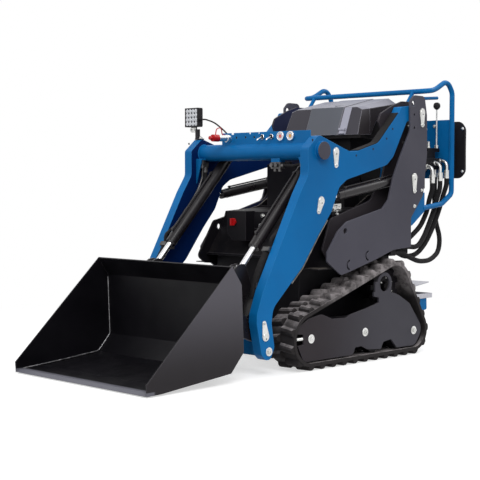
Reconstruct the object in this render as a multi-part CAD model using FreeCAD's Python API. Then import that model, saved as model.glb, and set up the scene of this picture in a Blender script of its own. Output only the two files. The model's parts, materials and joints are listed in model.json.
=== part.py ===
"""Mini track loader: a walk-behind tracked machine with lift arms and a bucket.

X points forward, Y to the machine's left and Z up. The ground is Z = 0 and the
origin is under the middle of the machine. Lengths are millimetres.
"""
import FreeCAD, Part
import math
import os

V = FreeCAD.Vector

# ---------------------------------------------------------------- driving sizes
# Widths, measured from the middle plane to each side
BUCKET_HALF = 550.0
TRACK_IN = 350.0
TRACK_OUT = 550.0
ARM_IN = 445.0
ARM_OUT = 504.0
ARM_WALL = 10.0
TOWER_GAP = 6.0             # free space between an arm and each tower plate
TOWER_PLATE = 12.0
SIDE_OUT = 400.0            # outer face of the body's side plates
SIDE_PLATE = 12.0
TUB_GAP = 15.0              # free space between the tub and a track
TUB_WALL = 8.0
RAIL_HALF = 500.0

# Clearances
PIN_CLEAR = 0.05            # radial play of a pivot on its pin
ROD_CLEAR = 0.5             # radial play of a piston rod in its barrel
SEAT = 0.3                  # gap between curved faces that nearly touch
SIDE_PLAY = 0.3             # axial play beside a boss or an eye

# Pivots, as (x, z)
ARM_PIVOT = (-878.0, 1461.0)
LIFT_BASE = (-804.0, 1068.0)
LIFT_EYE = (26.0, 935.0)
TILT_BASE = (-98.0, 1210.0)
TILT_EYE = (505.0, 566.0)
ATTACH_PIVOT = (472.0, 215.0)
STEP_PIVOT = (-980.0, 332.0)

ARM_PIN_R = 17.5
LIFT_PIN_R = 15.0
TILT_PIN_R = 15.0
ATTACH_PIN_R = 17.5
STEP_PIN_R = 8.0
STEP_HALF = 243.0
STEP_FRAME_HALF = 262.0     # to the inner faces of the platform's side rims

# Hydraulic cylinders
LIFT_BARREL_R = 30.0
LIFT_ROD_R = 15.0
LIFT_BARREL_LENGTH = 670.0
LIFT_ROD_LENGTH = 620.0
TILT_Y = 342.0
TILT_BARREL_R = 33.5
TILT_ROD_R = 17.5
TILT_BARREL_LENGTH = 722.0
TILT_ROD_LENGTH = 700.0
EYE_R = 30.0
EYE_TRIM = 2.0              # how much narrower than its tube a base eye is, each side
EYE_WIDTH = 36.0
GLAND_GROW = 1.5             # how much slimmer the gland is than the barrel
GLAND_LENGTH = 45.0
LIFT_PIPE = (4.5, 90.0, 600.0)  # a barrel's oil pipe: radius, start and end along it
TILT_PIPE = (6.0, 190.0, 660.0)
BARREL_FLOOR = 36.0         # where a barrel's bore starts, from its base pin

# Tracks: (x, z, radius at the lugs' tips) of each wheel's wrap
FRONT_IDLER = (145.0, 172.0, 172.0)
SPROCKET = (-595.0, 415.0, 172.0)
REAR_IDLER = (-784.0, 144.0, 144.0)
LUG_HEIGHT = 22.0
CARCASS = 20.0
ROLLER_R = 44.0
LUG_COUNT = 31              # lugs along each half of a track's width
LUG_ROOT = 50.0             # length of a lug where it meets the carcass
LUG_WAIST = 35.0            # at LUG_WAIST_SHARE of its height
LUG_WAIST_SHARE = 0.65
LUG_TIP = 17.0
LUG_EDGE = 2.0              # from a lug's outer end to the track's edge
LUG_SPLIT = 6.0             # between the two rows
LUG_LEAN = 14.0             # how far its inner end lies ahead of its outer end
LUG_DRAFT = 6.0
LUG_SINK = 3.0
ROLLER_XS = (-120.0, -417.0, -655.0)
ROLLER_HALF = 70.0
FRAME_INSET = 10.0          # from the track's edge to the frame's cover
FRAME_PLATE = 12.0
AXLE_R = 16.0
EYE = (-503.0, 442.0)       # ring at the top of a track frame's cover
EYE_RING_R = 67.0
EYE_HOLE_R = 46.0

# Cross tube between the arms
CROSS_TUBE = (26.0, 1214.0)
CROSS_TUBE_R = 50.0
CROSS_TUBE_END = 526.0
BRACKET_PLATE = 10.0
BRACKET_GAP = 6.5           # free space beside a tilt barrel

# Bucket plates
BUCKET_SIDE = 6.0
BUCKET_SHEET = 6.0
EDGE_PLATE = 16.0

# Guard rail
RAIL_R = 16.0
RAIL_FOOT = 12.0

RUN_SHARE = 0.45            # how much of the shorter run a hose's arc takes

# Hoses on the valve bank
HOSE_R = 15.0
FERRULE_R = 16.5
ELBOW_R = 10.0
ELBOW_BEND = 34.0
FERRULE_LENGTH = 52.0
VALVE_PORT_Y = 430.0
PORT_ZS = (1136.0, 1158.0, 1172.0)
HOSE_PATHS = (
    ((-1048, 478, 1032), (-1048, 478, 990), (-1038, 463, 930), (-1020, 461, 860),
     (-955, 461, 768), (-865, 461, 712), (-760, 457, 650), (-645, 457, 650)),
    ((-1130, 478, 1046), (-1130, 478, 1000), (-1116, 463, 930), (-1092, 462, 870),
     (-1040, 466, 790), (-965, 478, 700), (-885, 488, 640), (-770, 490, 650),
     (-645, 490, 650)),
    ((-1190, 484, 1062), (-1190, 484, 1020), (-1180, 464, 950), (-1150, 460, 870),
     (-1095, 458, 770), (-1010, 458, 660), (-915, 458, 592), (-800, 457, 584),
     (-715, 457, 617), (-645, 457, 617)),
    ((-1188, 395, 1070), (-1188, 395, 985), (-1170, 408, 890), (-1160, 424, 790),
     (-1186, 440, 690), (-1146, 458, 600), (-1035, 474, 552), (-900, 486, 552),
     (-790, 490, 588), (-715, 490, 617), (-645, 490, 617)),
)
MANIFOLD = (-645.0, -600.0, 600.0, 668.0)   # its ends in X, then in Z
MANIFOLD_OUT = 507.0

# Hoses, pipes and cable on the arms; each list runs from the cross tube outward
ARM_HOSE_R = 11.0
ARM_PIPE_R = 8.0
SLEEVE_R = 22.0
SLEEVE_Y = 416.0
ACROSS_HOSE_R = 9.0
CABLE_R = 4.5
ARM_HOSE_A = ((54, 404, 1098), (54, 404, 1050), (105, 404, 965), (170, 404, 885),
              (238, 404, 800), (330, 408, 728), (330, 408, 690))
ARM_PIPE = ((54, 428, 1128), (54, 430, 1068), (95, 430, 985))
ARM_HOSE_B = ((205, 430, 850), (260, 430, 785), (354, 431, 728), (354, 431, 690))
ACROSS_HOSE = ((44, 240, 1134), (44, 268, 1134), (44, 310, 1129), (44, 352, 1140),
               (44, 396, 1140))
SLEEVE_FACE = ((350.0, 641.5), (392.0, 669.2))
SLEEVE_RUN = ((465, 484), (479, 410))
LAMP_CABLE = ((45, -448, 1420), (45, -415, 1420), (38, -345, 1400), (32, -270, 1352),
              (28, -228, 1316), (26, -205, 1296), (26, -205, 1277))
CAP_DISC = 5.0

# Pads and panels
PANEL_SHEET = 4.0
FRONT_SHEET = 6.0
PAD_THICK = 45.0
PAD_HALF = 545.0
PAD_CORNER = 55.0
HOOD_WALL = 5.0
STRAP_THICK = 3.0
STRAP_Y = (150.0, 206.0)
HOOD_BAND = (-122.0, 141.0)
HOOD_LOW_FRONT = (-535.0, 1325.0)
HOOD_TOP_FRONT = (-600.0, 1495.0)
HOOD_TOP_BACK = (-882.0, 1558.0)
HOOD_BACK = -885.0
HOOD_FLANK = ((-625, 1325), (-673, 1397), (-750, 1454), (-838, 1494), (-890, 1504))

TRACK_MID = (TRACK_IN + TRACK_OUT) / 2
ARM_MID = (ARM_IN + ARM_OUT) / 2
TUB_HALF = TRACK_IN - TUB_GAP
FRAME_OUT = TRACK_OUT - FRAME_INSET
LUG_REACH = (TRACK_OUT - TRACK_IN - LUG_SPLIT) / 2 - LUG_EDGE
TOWER_OUT_IN = ARM_OUT + TOWER_GAP
TOWER_OUT_OUT = TOWER_OUT_IN + TOWER_PLATE
TOWER_IN_OUT = ARM_IN - TOWER_GAP
TOWER_IN_IN = TOWER_IN_OUT - TOWER_PLATE
SIDE_IN = SIDE_OUT - SIDE_PLATE
BELT_INSIDE = LUG_HEIGHT + CARCASS
TILT_BRACKET_IN = TILT_Y - TILT_BARREL_R - BRACKET_GAP
TILT_BRACKET_OUT = TILT_Y + TILT_BARREL_R + BRACKET_GAP


# --------------------------------------------------------------------- helpers
def rounded(points):
    """Closed wire in the XZ plane; a point's third number rounds its corner."""
    corners = []
    for index, point in enumerate(points):
        here = V(point[0], 0, point[1])
        radius = point[2] if len(point) > 2 else 0
        if radius == 0:
            corners.append((here, None, here))
            continue
        last = points[index - 1]
        following = points[(index + 1) % len(points)]
        back = (V(last[0], 0, last[1]) - here).normalize()
        ahead = (V(following[0], 0, following[1]) - here).normalize()
        half = back.getAngle(ahead) / 2
        bisector = (back + ahead).normalize()
        reach = radius / math.tan(half)
        middle = here + bisector * (radius / math.sin(half) - radius)
        corners.append((here + back * reach, middle, here + ahead * reach))
    edges = []
    for index, (start, middle, end) in enumerate(corners):
        if middle is not None:
            edges.append(Part.Arc(start, middle, end).toShape())
        onward = corners[(index + 1) % len(corners)][0]
        if (onward - end).Length > 1e-6:
            edges.append(Part.LineSegment(end, onward).toShape())
    return Part.Wire(edges)


def slab(wire, y0, y1):
    """Extrude a wire of the XZ plane from y0 to y1."""
    face = Part.Face(wire)
    face.translate(V(0, y0, 0))
    return face.extrude(V(0, y1 - y0, 0))


def plate(points, y0, y1):
    return slab(rounded(points), y0, y1)


def block(x0, x1, y0, y1, z0, z1):
    return Part.makeBox(x1 - x0, y1 - y0, z1 - z0, V(x0, y0, z0))


def rod(start, end, radius):
    """Cylinder between two points."""
    start = V(*start)
    end = V(*end)
    return Part.makeCylinder(radius, (end - start).Length, start, end - start)


def cross_rod(place, y0, y1, radius):
    """Cylinder along Y at an (x, z) place."""
    return rod((place[0], y0, place[1]), (place[0], y1, place[1]), radius)


def fuse(*shapes):
    whole = shapes[0]
    for shape in shapes[1:]:
        whole = whole.fuse(shape)
    return whole.removeSplitter()


def mirrored(shape):
    return shape.mirror(V(0, 0, 0), V(0, 1, 0))


def both(*shapes):
    """Pieces and their mirror images, as one compound."""
    return Part.makeCompound(list(shapes) + [mirrored(shape) for shape in shapes])


def prismoid(*rings):
    """Solid through rings of points, from the lowest to the highest, with flat sides."""
    outlines = [rings[0], rings[-1]]
    for low, high in zip(rings, rings[1:]):
        for index in range(len(low)):
            following = (index + 1) % len(low)
            outlines.append([low[index], low[following], high[following], high[index]])
    faces = [Part.Face(Part.makePolygon(outline + outline[:1])) for outline in outlines]
    return Part.makeSolid(Part.makeShell(faces))


def bent_tube(points, radius, bends=None):
    """Tube along straight runs joined by tangent arcs.

    Each inner point's arc has its own bend radius, or without bends the largest one
    that its two runs allow.
    """
    nodes = [V(*point) for point in points]
    edges = []
    start = nodes[0]
    for index in range(1, len(nodes) - 1):
        here = nodes[index]
        back = nodes[index - 1] - here
        ahead = nodes[index + 1] - here
        shorter = min(back.Length, ahead.Length)
        back = back.normalize()
        ahead = ahead.normalize()
        half = back.getAngle(ahead) / 2
        bisector = (back + ahead).normalize()
        bend = bends[index - 1] if bends else RUN_SHARE * shorter * math.tan(half)
        reach = bend / math.tan(half)
        middle = here + bisector * (bend / math.sin(half) - bend)
        edges.append(Part.LineSegment(start, here + back * reach).toShape())
        edges.append(Part.Arc(here + back * reach, middle, here + ahead * reach).toShape())
        start = here + ahead * reach
    edges.append(Part.LineSegment(start, nodes[-1]).toShape())
    path = Part.Wire(edges)
    ring = Part.Wire([Part.Circle(nodes[0], nodes[1] - nodes[0], radius).toShape()])
    return path.makePipeShell([ring], True, False)


def teardrop(pin, bolt, y0, y1, big, small):
    """Keeper plate: round at the pin, narrower round at its bolt."""
    run = V(bolt[0] - pin[0], 0, bolt[1] - pin[1])
    ahead = V(run).normalize()
    lean = (big - small) / run.Length
    side = V(-ahead.z, 0, ahead.x)
    rise = math.sqrt(1 - lean * lean)
    pin_at = V(pin[0], 0, pin[1])
    bolt_at = V(bolt[0], 0, bolt[1])
    left = ahead * lean + side * rise
    right = ahead * lean - side * rise
    edges = [
        Part.LineSegment(pin_at + left * big, bolt_at + left * small).toShape(),
        Part.Arc(bolt_at + left * small, bolt_at + ahead * small, bolt_at + right * small).toShape(),
        Part.LineSegment(bolt_at + right * small, pin_at + right * big).toShape(),
        Part.Arc(pin_at + right * big, pin_at - ahead * big, pin_at + left * big).toShape(),
    ]
    return slab(Part.Wire(edges), y0, y1)


def belt_edges(inset):
    """Outline of a belt round the three track wheels, this far inside the lugs' tips."""
    wheels = [FRONT_IDLER, SPROCKET, REAR_IDLER]
    normals = []
    for index, (x, z, tip) in enumerate(wheels):
        x2, z2, tip2 = wheels[(index + 1) % len(wheels)]
        run = V(x2 - x, 0, z2 - z)
        ahead = V(run).normalize()
        outward = V(ahead.z, 0, -ahead.x)
        lean = (tip - tip2) / run.Length
        normals.append(ahead * lean + outward * math.sqrt(1 - lean * lean))
    edges = []
    for index, (x, z, tip) in enumerate(wheels):
        centre = V(x, 0, z)
        before = normals[index - 1]
        after = normals[index]
        middle = (before + after).normalize()
        radius = tip - inset
        edges.append(Part.Arc(centre + before * radius, centre + middle * radius,
                              centre + after * radius).toShape())
        x2, z2, tip2 = wheels[(index + 1) % len(wheels)]
        edges.append(Part.LineSegment(centre + after * radius,
                                      V(x2, 0, z2) + after * (tip2 - inset)).toShape())
    return edges


def belt(inset):
    return Part.Wire(belt_edges(inset))


def lug(place, ahead, curve, outer, reach):
    """Tread lug from a track's edge at outer, across by reach, on the carcass at place.

    The belt runs along ahead, and curve is its radius there, or None on a straight run.
    """
    outward = V(ahead.z, 0, -ahead.x)
    side = 1 if reach > 0 else -1
    tip_height = LUG_HEIGHT
    if curve is not None:
        tip_height = math.sqrt((curve + LUG_HEIGHT) ** 2 - (LUG_TIP / 2) ** 2) - curve

    def ring(length, height, draft):
        ends = (outer + side * draft, outer + reach - side * draft)
        spots = [(-1, ends[0]), (1, ends[0]), (1, ends[1]), (-1, ends[1])]
        corners = []
        for sign, y in spots:
            lean = LUG_LEAN * (y - outer) / reach
            corners.append(place + ahead * (sign * length / 2 + lean) + outward * height
                           + V(0, y, 0))
        return corners
    return prismoid(ring(LUG_ROOT, -LUG_SINK, 0),
                    ring(LUG_WAIST, LUG_WAIST_SHARE * tip_height, LUG_DRAFT / 2),
                    ring(LUG_TIP, tip_height, LUG_DRAFT))


def lugs():
    """Two staggered rows of lugs round the carcass."""
    edges = belt_edges(LUG_HEIGHT)
    around = sum(edge.Length for edge in edges)
    solids = []
    for index in range(2 * LUG_COUNT):
        distance = index * around / (2 * LUG_COUNT)
        for edge in edges:
            if distance <= edge.Length:
                break
            distance -= edge.Length
        parameter = edge.getParameterByLength(distance)
        curve = edge.Curve.Radius if hasattr(edge.Curve, "Radius") else None
        outer_row = index % 2 == 0
        outer = TRACK_OUT - LUG_EDGE if outer_row else TRACK_IN + LUG_EDGE
        reach = -LUG_REACH if outer_row else LUG_REACH
        solids.append(lug(edge.valueAt(parameter), edge.tangentAt(parameter), curve, outer,
                          reach))
    return solids


def save(name, shape):
    os.makedirs("parts", exist_ok=True)
    for solid in shape.Solids:
        if not solid.isValid():
            raise ValueError(name + " has an invalid solid")
    shape.exportStep("parts/" + name + ".step")


def save_pair(name, shape):
    """Write a left-hand piece and its mirror image."""
    save(name + "_left", shape)
    save(name + "_right", mirrored(shape))


# ---------------------------------------------------------------- undercarriage
def make_track():
    """Rubber belt with its lugs."""
    outer = slab(belt(LUG_HEIGHT), TRACK_IN, TRACK_OUT)
    inner = slab(belt(BELT_INSIDE), TRACK_IN, TRACK_OUT)
    return outer.cut(inner).multiFuse(lugs()).removeSplitter()


COVER_OUTLINE = [
    (258, 240, 30), (261, 211), (208, 206), (206, 150), (252, 144), (205, 52, 50),
    (-212, 52, 15), (-236, 92, 12), (-292, 94, 15), (-345, 70, 12), (-470, 60, 12),
    (-492, 100, 12), (-566, 110, 20), (-622, 54, 12), (-800, 52, 55), (-872, 150, 60),
    (-744, 310, 60), (-640, 366, 40), (-587, 384), (-470, 384), (-404, 400), (-404, 374),
    (-450, 364), (-450, 334), (-345, 311, 30), (-196, 285, 20), (-147, 268, 12), (-29, 273, 12),
    (2, 286, 12), (58, 305, 30), (172, 288, 50),
]


def make_track_frame():
    """Outer cover plate with its eye, spine beam, axles, yokes and tensioner bolt."""
    cover_in = FRAME_OUT - FRAME_PLATE
    yoke_in = TRACK_IN + 30
    yoke_plate = 12
    cover = plate(COVER_OUTLINE, cover_in, FRAME_OUT)
    neck = block(EYE[0] - EYE_RING_R + 4, EYE[0] + EYE_RING_R + 20, cover_in, FRAME_OUT,
                 EYE[1] - EYE_RING_R, EYE[1] + 15)
    cover = fuse(cover, neck, cross_rod(EYE, cover_in, FRAME_OUT, EYE_RING_R))
    cover = cover.cut(cross_rod(EYE, cover_in, FRAME_OUT, EYE_HOLE_R))
    spine = block(-660, -5, TUB_HALF, cover_in, 150, 250)
    axles = [cross_rod(wheel[:2], yoke_in, FRAME_OUT, AXLE_R) for wheel in (FRONT_IDLER, REAR_IDLER)]
    yokes = [block(-10, FRONT_IDLER[0] + 30, yoke_in, yoke_in + yoke_plate, 150, 195),
             block(REAR_IDLER[0] - 30, -650, yoke_in, yoke_in + yoke_plate, 136, 190)]
    tensioner = rod((204, cover_in + 5, 181), (262, cover_in + 5, 181), 8)
    return fuse(cover, spine, *axles, *yokes, tensioner)


def idler(wheel):
    """Flanged idler that fills the belt's wrap, bored for its axle."""
    radius = wheel[2] - BELT_INSIDE - SEAT
    place = (wheel[0], wheel[1])
    inner = TRACK_IN + 45
    outer = FRAME_OUT - FRAME_PLATE - 5
    wheel_body = cross_rod(place, inner, outer, radius)
    groove = cross_rod(place, TRACK_MID - 20, TRACK_MID + 20, radius + 1)
    groove = groove.cut(cross_rod(place, TRACK_MID - 20, TRACK_MID + 20, radius - 18))
    dish = cross_rod(place, outer - 25, outer, radius - 22)
    dish = dish.cut(cross_rod(place, outer - 25, outer, AXLE_R + 20))
    bore = cross_rod(place, inner, outer, AXLE_R + SEAT)
    return wheel_body.cut(groove).cut(dish).cut(bore)


def make_rollers():
    """Three twin-flange bottom rollers, each on a stub from the spine's cover side."""
    z = BELT_INSIDE + ROLLER_R + SEAT
    rollers = []
    for x in ROLLER_XS:
        body = cross_rod((x, z), TRACK_MID - ROLLER_HALF, TRACK_MID + ROLLER_HALF, ROLLER_R)
        waist = cross_rod((x, z), TRACK_MID - 20, TRACK_MID + 20, ROLLER_R + 1)
        waist = waist.cut(cross_rod((x, z), TRACK_MID - 20, TRACK_MID + 20, ROLLER_R - 14))
        pin = cross_rod((x, z), TRACK_MID - ROLLER_HALF, FRAME_OUT - FRAME_PLATE, 12)
        rollers.append(fuse(body.cut(waist), pin))
    return rollers


def make_sprocket():
    """Toothed disc with its drive motor, which reaches in to the tub."""
    place = (SPROCKET[0], SPROCKET[1])
    root = SPROCKET[2] - BELT_INSIDE - 24
    tip = SPROCKET[2] - BELT_INSIDE - SEAT
    disc = cross_rod(place, TRACK_MID - 14, TRACK_MID + 14, root)
    teeth = 11
    for index in range(teeth):
        angle = 2 * math.pi * index / teeth
        tooth = block(root - 8, tip - 1, TRACK_MID - 14, TRACK_MID + 14, -14, 14)
        tooth.rotate(V(0, 0, 0), V(0, 1, 0), -math.degrees(angle))
        tooth.translate(V(place[0], 0, place[1]))
        disc = disc.fuse(tooth)
    rim = cross_rod(place, TRACK_MID + 14, TRACK_MID + 26, 62)
    rim = rim.cut(cross_rod(place, TRACK_MID + 14, TRACK_MID + 26, 48))
    motor = cross_rod(place, TUB_HALF, TRACK_MID - 14, 80)
    end_cap = cross_rod(place, TRACK_MID + 14, TRACK_MID + 40, 34)
    return fuse(disc, rim, motor, end_cap)


# ------------------------------------------------------------------------- body
def make_tub():
    """Welded tub between the tracks, open at the top under the deck plates."""
    outer = block(-800, 20, -TUB_HALF, TUB_HALF, 150, 600)
    inner = block(-800 + TUB_WALL, 20 - TUB_WALL, -TUB_HALF + TUB_WALL, TUB_HALF - TUB_WALL,
                  150 + TUB_WALL, 600)
    return outer.cut(inner)


def make_floor():
    """Floor plate that closes the tub and spans to the side plates."""
    return block(-905, 60, -SIDE_IN, SIDE_IN, 600, 612)


def make_side_plate():
    """Body side with its rounded front ear, spacers and small front fender."""
    side = plate([
        (131, 592, 28), (73, 550, 28), (-50, 540, 60), (-330, 560, 80), (-600, 600, 60),
        (-905, 600), (-905, 1000, 20), (-520, 960, 40), (-395, 890, 40), (-133, 834, 30),
        (-2, 805, 30),
    ], SIDE_IN, SIDE_OUT)
    side = side.cut(cross_rod((-40, 768), SIDE_IN, SIDE_OUT, 20))
    low_rail = block(-880, -170, SIDE_OUT, TOWER_IN_IN, 650, 690)
    high_rail = block(-880, -540, SIDE_OUT, TOWER_IN_IN, 850, 880)
    fender = block(-90, 44, SIDE_OUT, 500, 549, 554)
    return fuse(side, low_rail, high_rail, fender)


PANEL_KNEE_Z = 765.0
PANEL_RUN = [(48, 612), (-66, PANEL_KNEE_Z), (-100, 862), (-395, 880)]


def panel_x(z):
    """X of the front panel's outer face at a height below its knee."""
    (x0, z0), (x1, z1) = PANEL_RUN[:2]
    return x0 + (x1 - x0) * (z - z0) / (z1 - z0)


def make_front_panel():
    """Bent sheet: leaning front, nose and top cover between the side plates."""
    line = [V(x, 0, z) for x, z in PANEL_RUN]
    runs = [(line[index + 1] - line[index]).normalize() for index in range(len(line) - 1)]
    inward = [V(-run.z, 0, run.x) for run in runs]
    under = [line[0] + V(-FRONT_SHEET / runs[0].z, 0, 0)]
    for index in range(1, len(line) - 1):
        mitre = (inward[index - 1] + inward[index]).normalize()
        under.append(line[index] + mitre * (FRONT_SHEET / mitre.dot(inward[index])))
    under.append(line[-1] + V(0, 0, FRONT_SHEET / runs[-1].x))
    outline = [(point.x, point.z) for point in line + under[::-1]]
    return plate(outline, -SIDE_IN, SIDE_IN)


BOX_FRONT = 90.0
BOX_Y = (-178.0, -24.0)
SWITCH = (-124.0, 805.0)    # (y, z)


def make_battery_box():
    """Box for the isolator switch, with a foot on the leaning front panel."""
    foot = [(x, z) for x, z in PANEL_RUN if z == PANEL_KNEE_Z]
    low = PANEL_KNEE_Z - 70
    box = plate([(15, 870, 6), (BOX_FRONT, 870, 6), (BOX_FRONT, low, 6), (panel_x(low), low),
                 foot[0], (15, PANEL_KNEE_Z)], *BOX_Y)
    ring = [V(panel_x(low) - 60, BOX_Y[0], low), V(panel_x(low) - 60, BOX_Y[0] + 42, low),
            V(panel_x(low) - 60, BOX_Y[0], low + 48)]
    corner = Part.Face(Part.makePolygon(ring + ring[:1])).extrude(V(200, 0, 0))
    return box.cut(corner)


def make_isolator_switch():
    y, z = SWITCH
    knob = rod((BOX_FRONT, y, z), (BOX_FRONT + 8, y, z), 22)
    grip = block(BOX_FRONT + 8, BOX_FRONT + 26, y - 6, y + 6, z - 21, z + 21)
    return fuse(knob, grip)


def make_tower_outer():
    """Outer tower plate: lifting eye at the top, holes and C-shaped notches."""
    y0 = TOWER_OUT_IN
    y1 = TOWER_OUT_OUT
    tower = plate([
        (-763, 1525, 12), (-800, 1562, 35), (-905, 1560, 32), (-929, 1446, 20), (-932, 1213, 60),
        (-896, 961, 40), (-776, 824, 10), (-778, 648, 6), (-606, 637, 30), (-447, 589, 40),
        (-224, 533, 40), (-130, 512, 30), (-11, 592, 15), (-10, 643, 15), (-102, 761, 40),
        (-182, 815, 40), (-502, 884, 30), (-559, 937, 30), (-602, 1063, 60), (-659, 1173, 60),
        (-765, 1349, 60),
    ], y0, y1)
    for place, radius in (((-795, 1512), 18), ((-804, 1444), 9), ((-804, 1366), 9),
                          ((-164, 762), 17)):
        tower = tower.cut(cross_rod(place, y0, y1, radius))
    for place in ((-207, 566), (-375, 612)):
        ring = cross_rod(place, y0, y1, 31).cut(cross_rod(place, y0, y1, 19))
        ring = ring.cut(block(place[0] - 32, place[0], y0, y1, place[1] - 32, place[1] + 32))
        tower = tower.cut(ring)
    for place, radius in ((ARM_PIVOT, ARM_PIN_R), (LIFT_BASE, LIFT_PIN_R)):
        tower = tower.cut(cross_rod(place, y0, y1, radius + PIN_CLEAR))
    return tower


def make_tower_inner():
    """Inner tower plate with the spacers that carry the outer one."""
    y0 = TOWER_IN_IN
    y1 = TOWER_IN_OUT
    tower = plate([
        (-585, 1447, 25), (-700, 1500, 60), (-790, 1528, 25), (-905, 1528, 30), (-932, 1213, 60), (-896, 961, 40), (-860, 880, 20),
        (-860, 665, 10), (-600, 652, 40), (-330, 597, 60), (-120, 585, 40), (-60, 650, 30),
        (-130, 830, 60),
        (-490, 930, 80), (-600, 1063, 60), (-660, 1240, 60), (-562, 1400, 25),
    ], y0, y1)
    for place, radius in ((ARM_PIVOT, ARM_PIN_R), (LIFT_BASE, LIFT_PIN_R)):
        tower = tower.cut(cross_rod(place, y0, y1, radius + PIN_CLEAR))
    low = plate([(-560, 710), (-560, 662), (-260, 606), (-160, 606), (-160, 655)],
                TOWER_IN_OUT, TOWER_OUT_IN)
    back = block(-928, -916, TOWER_IN_OUT, TOWER_OUT_IN, 1000, 1380)
    heel = block(-710, -650, TOWER_IN_OUT, TOWER_OUT_IN, 672, 712)
    return fuse(tower, low, back, heel)


def make_tower_pins():
    """Arm pins and lift-cylinder base pins with their keeper plates."""
    pins = []
    for place, radius, bolt in ((ARM_PIVOT, ARM_PIN_R, (-880, 1385)),
                                (LIFT_BASE, LIFT_PIN_R, (-805, 985))):
        pin = cross_rod(place, TOWER_IN_IN, TOWER_OUT_OUT, radius)
        keeper = teardrop(place, bolt, TOWER_OUT_OUT, TOWER_OUT_OUT + 5, 25, 14)
        pins.append(fuse(pin, keeper))
    left = Part.makeCompound(pins)
    return both(left)


def make_deck():
    """Deck plate that carries the engine and the tank."""
    return block(-905, -395, -SIDE_IN, SIDE_IN, 880, 890)


def make_tank():
    """Hydraulic tank in front of the engine, with its filler caps."""
    box = block(-540, -395, -315, 315, 890, 1150)
    caps = [rod((-440, y, 1150), (-440, y, 1166), 26) for y in (-250, -180)]
    return fuse(box, *caps)


def make_engine():
    """Engine block with finned cylinders, flywheel housing, filter and muffler, under
    the shroud that the hood sits on."""
    sump = block(-860, -585, -215, 215, 890, 1010)
    case = block(-850, -600, -190, 190, 1010, 1305)
    housing = rod((-725, 190, 1110), (-725, 225, 1110), 128)
    fan = rod((-725, 225, 1110), (-725, 238, 1110), 95)
    fins = [block(-598 + step, -590 + step, -150, 150, 1060, 1240) for step in (-6, 8, 22)]
    webs = [block(-602, -570, y, y + 60, 1080, 1220) for y in (-140, -30, 80)]
    filter_body = rod((-590, -80, 960), (-552, -80, 960), 38)
    muffler = rod((-848, -130, 1150), (-848, 130, 1150), 55)
    shroud = block(-885, -540, -316, 316, 1305, 1325)
    cleaner = block(-872, -640, -285, 285, 1325, 1432)
    lid = block(-850, -662, -262, 262, 1432, 1452)
    return fuse(sump, case, housing, fan, *fins, *webs, filter_body, muffler, shroud, cleaner,
                lid)


def hood_solid(inset):
    """Hood with leaning front, broken shoulders and a top that climbs to the rear, this
    far inside its outer faces."""
    def ring(front, side, back, half, nose, front_z, slope):
        spots = [(front, -nose), (front, nose), (side, half), (back, half), (back, -half),
                 (side, -half)]
        return Part.makePolygon([V(x, y, front_z + (front - x) * slope) for x, y in spots]
                                + [V(front, -nose, front_z)])
    rise = (HOOD_TOP_BACK[1] - HOOD_TOP_FRONT[1]) / (HOOD_TOP_FRONT[0] - HOOD_TOP_BACK[0])
    low_x, low_z = HOOD_LOW_FRONT
    top_x, top_z = HOOD_TOP_FRONT
    shoulder_z = top_z - 16
    shoulder_x = low_x + (top_x - low_x) * (shoulder_z - low_z) / (top_z - low_z)
    rings = [
        ring(low_x - inset, -615, HOOD_BACK + inset, 332 - inset, 302 - inset, low_z, 0),
        ring(shoulder_x - inset, -630, HOOD_BACK + inset, 318 - inset, 286 - inset,
             shoulder_z - inset, 0.15),
        ring(top_x - inset, -625, HOOD_TOP_BACK[0] + inset, 262 - inset, 246 - inset,
             top_z - inset, rise),
    ]
    return Part.makeLoft(rings, True, True)


def make_hood():
    """Hollow hood, cut away low down at its rear, with a raised band over the middle of
    its front and top and a notch in the band."""
    (x0, z0), (x1, z1), (x2, z2) = HOOD_LOW_FRONT, HOOD_TOP_FRONT, HOOD_TOP_BACK
    ring = [V(x0 + 3, 0, z0 + 1), V(x1 + 3, 0, z1 + 4), V(x2, 0, z2 + 4), V(x2, 0, z2 - 3),
            V(x1 - 2, 0, z1 - 3), V(x0 - 3, 0, z0 + 1)]
    raised = Part.Face(Part.makePolygon(ring + ring[:1]))
    raised.translate(V(0, HOOD_BAND[0], 0))
    raised = raised.extrude(V(0, HOOD_BAND[1] - HOOD_BAND[0], 0))
    notch = Part.Face(Part.makePolygon([V(-606, 62, 1400), V(-664, 15, 1400),
                                        V(-664, 88, 1400), V(-606, 62, 1400)]))
    raised = raised.cut(notch.extrude(V(0, 0, 200)))
    shell = hood_solid(0).cut(hood_solid(HOOD_WALL))
    flank = plate([*HOOD_FLANK, (-890, 1320), (-625, 1320)], -340, 340)
    return fuse(shell.cut(flank), raised)


def make_hood_strap():
    """Rubber strap that pulls the hood's front down, with its latch below."""
    low = V(HOOD_LOW_FRONT[0], 0, HOOD_LOW_FRONT[1])
    high = V(HOOD_TOP_FRONT[0], 0, HOOD_TOP_FRONT[1])
    up = V(high - low).normalize()
    outward = V(up.z, 0, -up.x)

    def strip(from_low, length, lift, thick, y0, y1):
        start = low + up * from_low + outward * lift
        corners = [start, start + up * length, start + up * length + outward * thick,
                   start + outward * thick]
        face = Part.Face(Part.makePolygon(corners + corners[:1]))
        face.translate(V(0, y0, 0))
        return face.extrude(V(0, y1 - y0, 0))
    y0, y1 = STRAP_Y
    band = strip(2, (high - low).Length - 4, 0, STRAP_THICK, y0, y1)
    latch = strip(4, 34, 0, 12, y0 + 8, y1 - 8)
    handle = strip(26, 14, 0, 17, y0 + 4, y1 - 4)
    return fuse(band, latch, handle)


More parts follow.
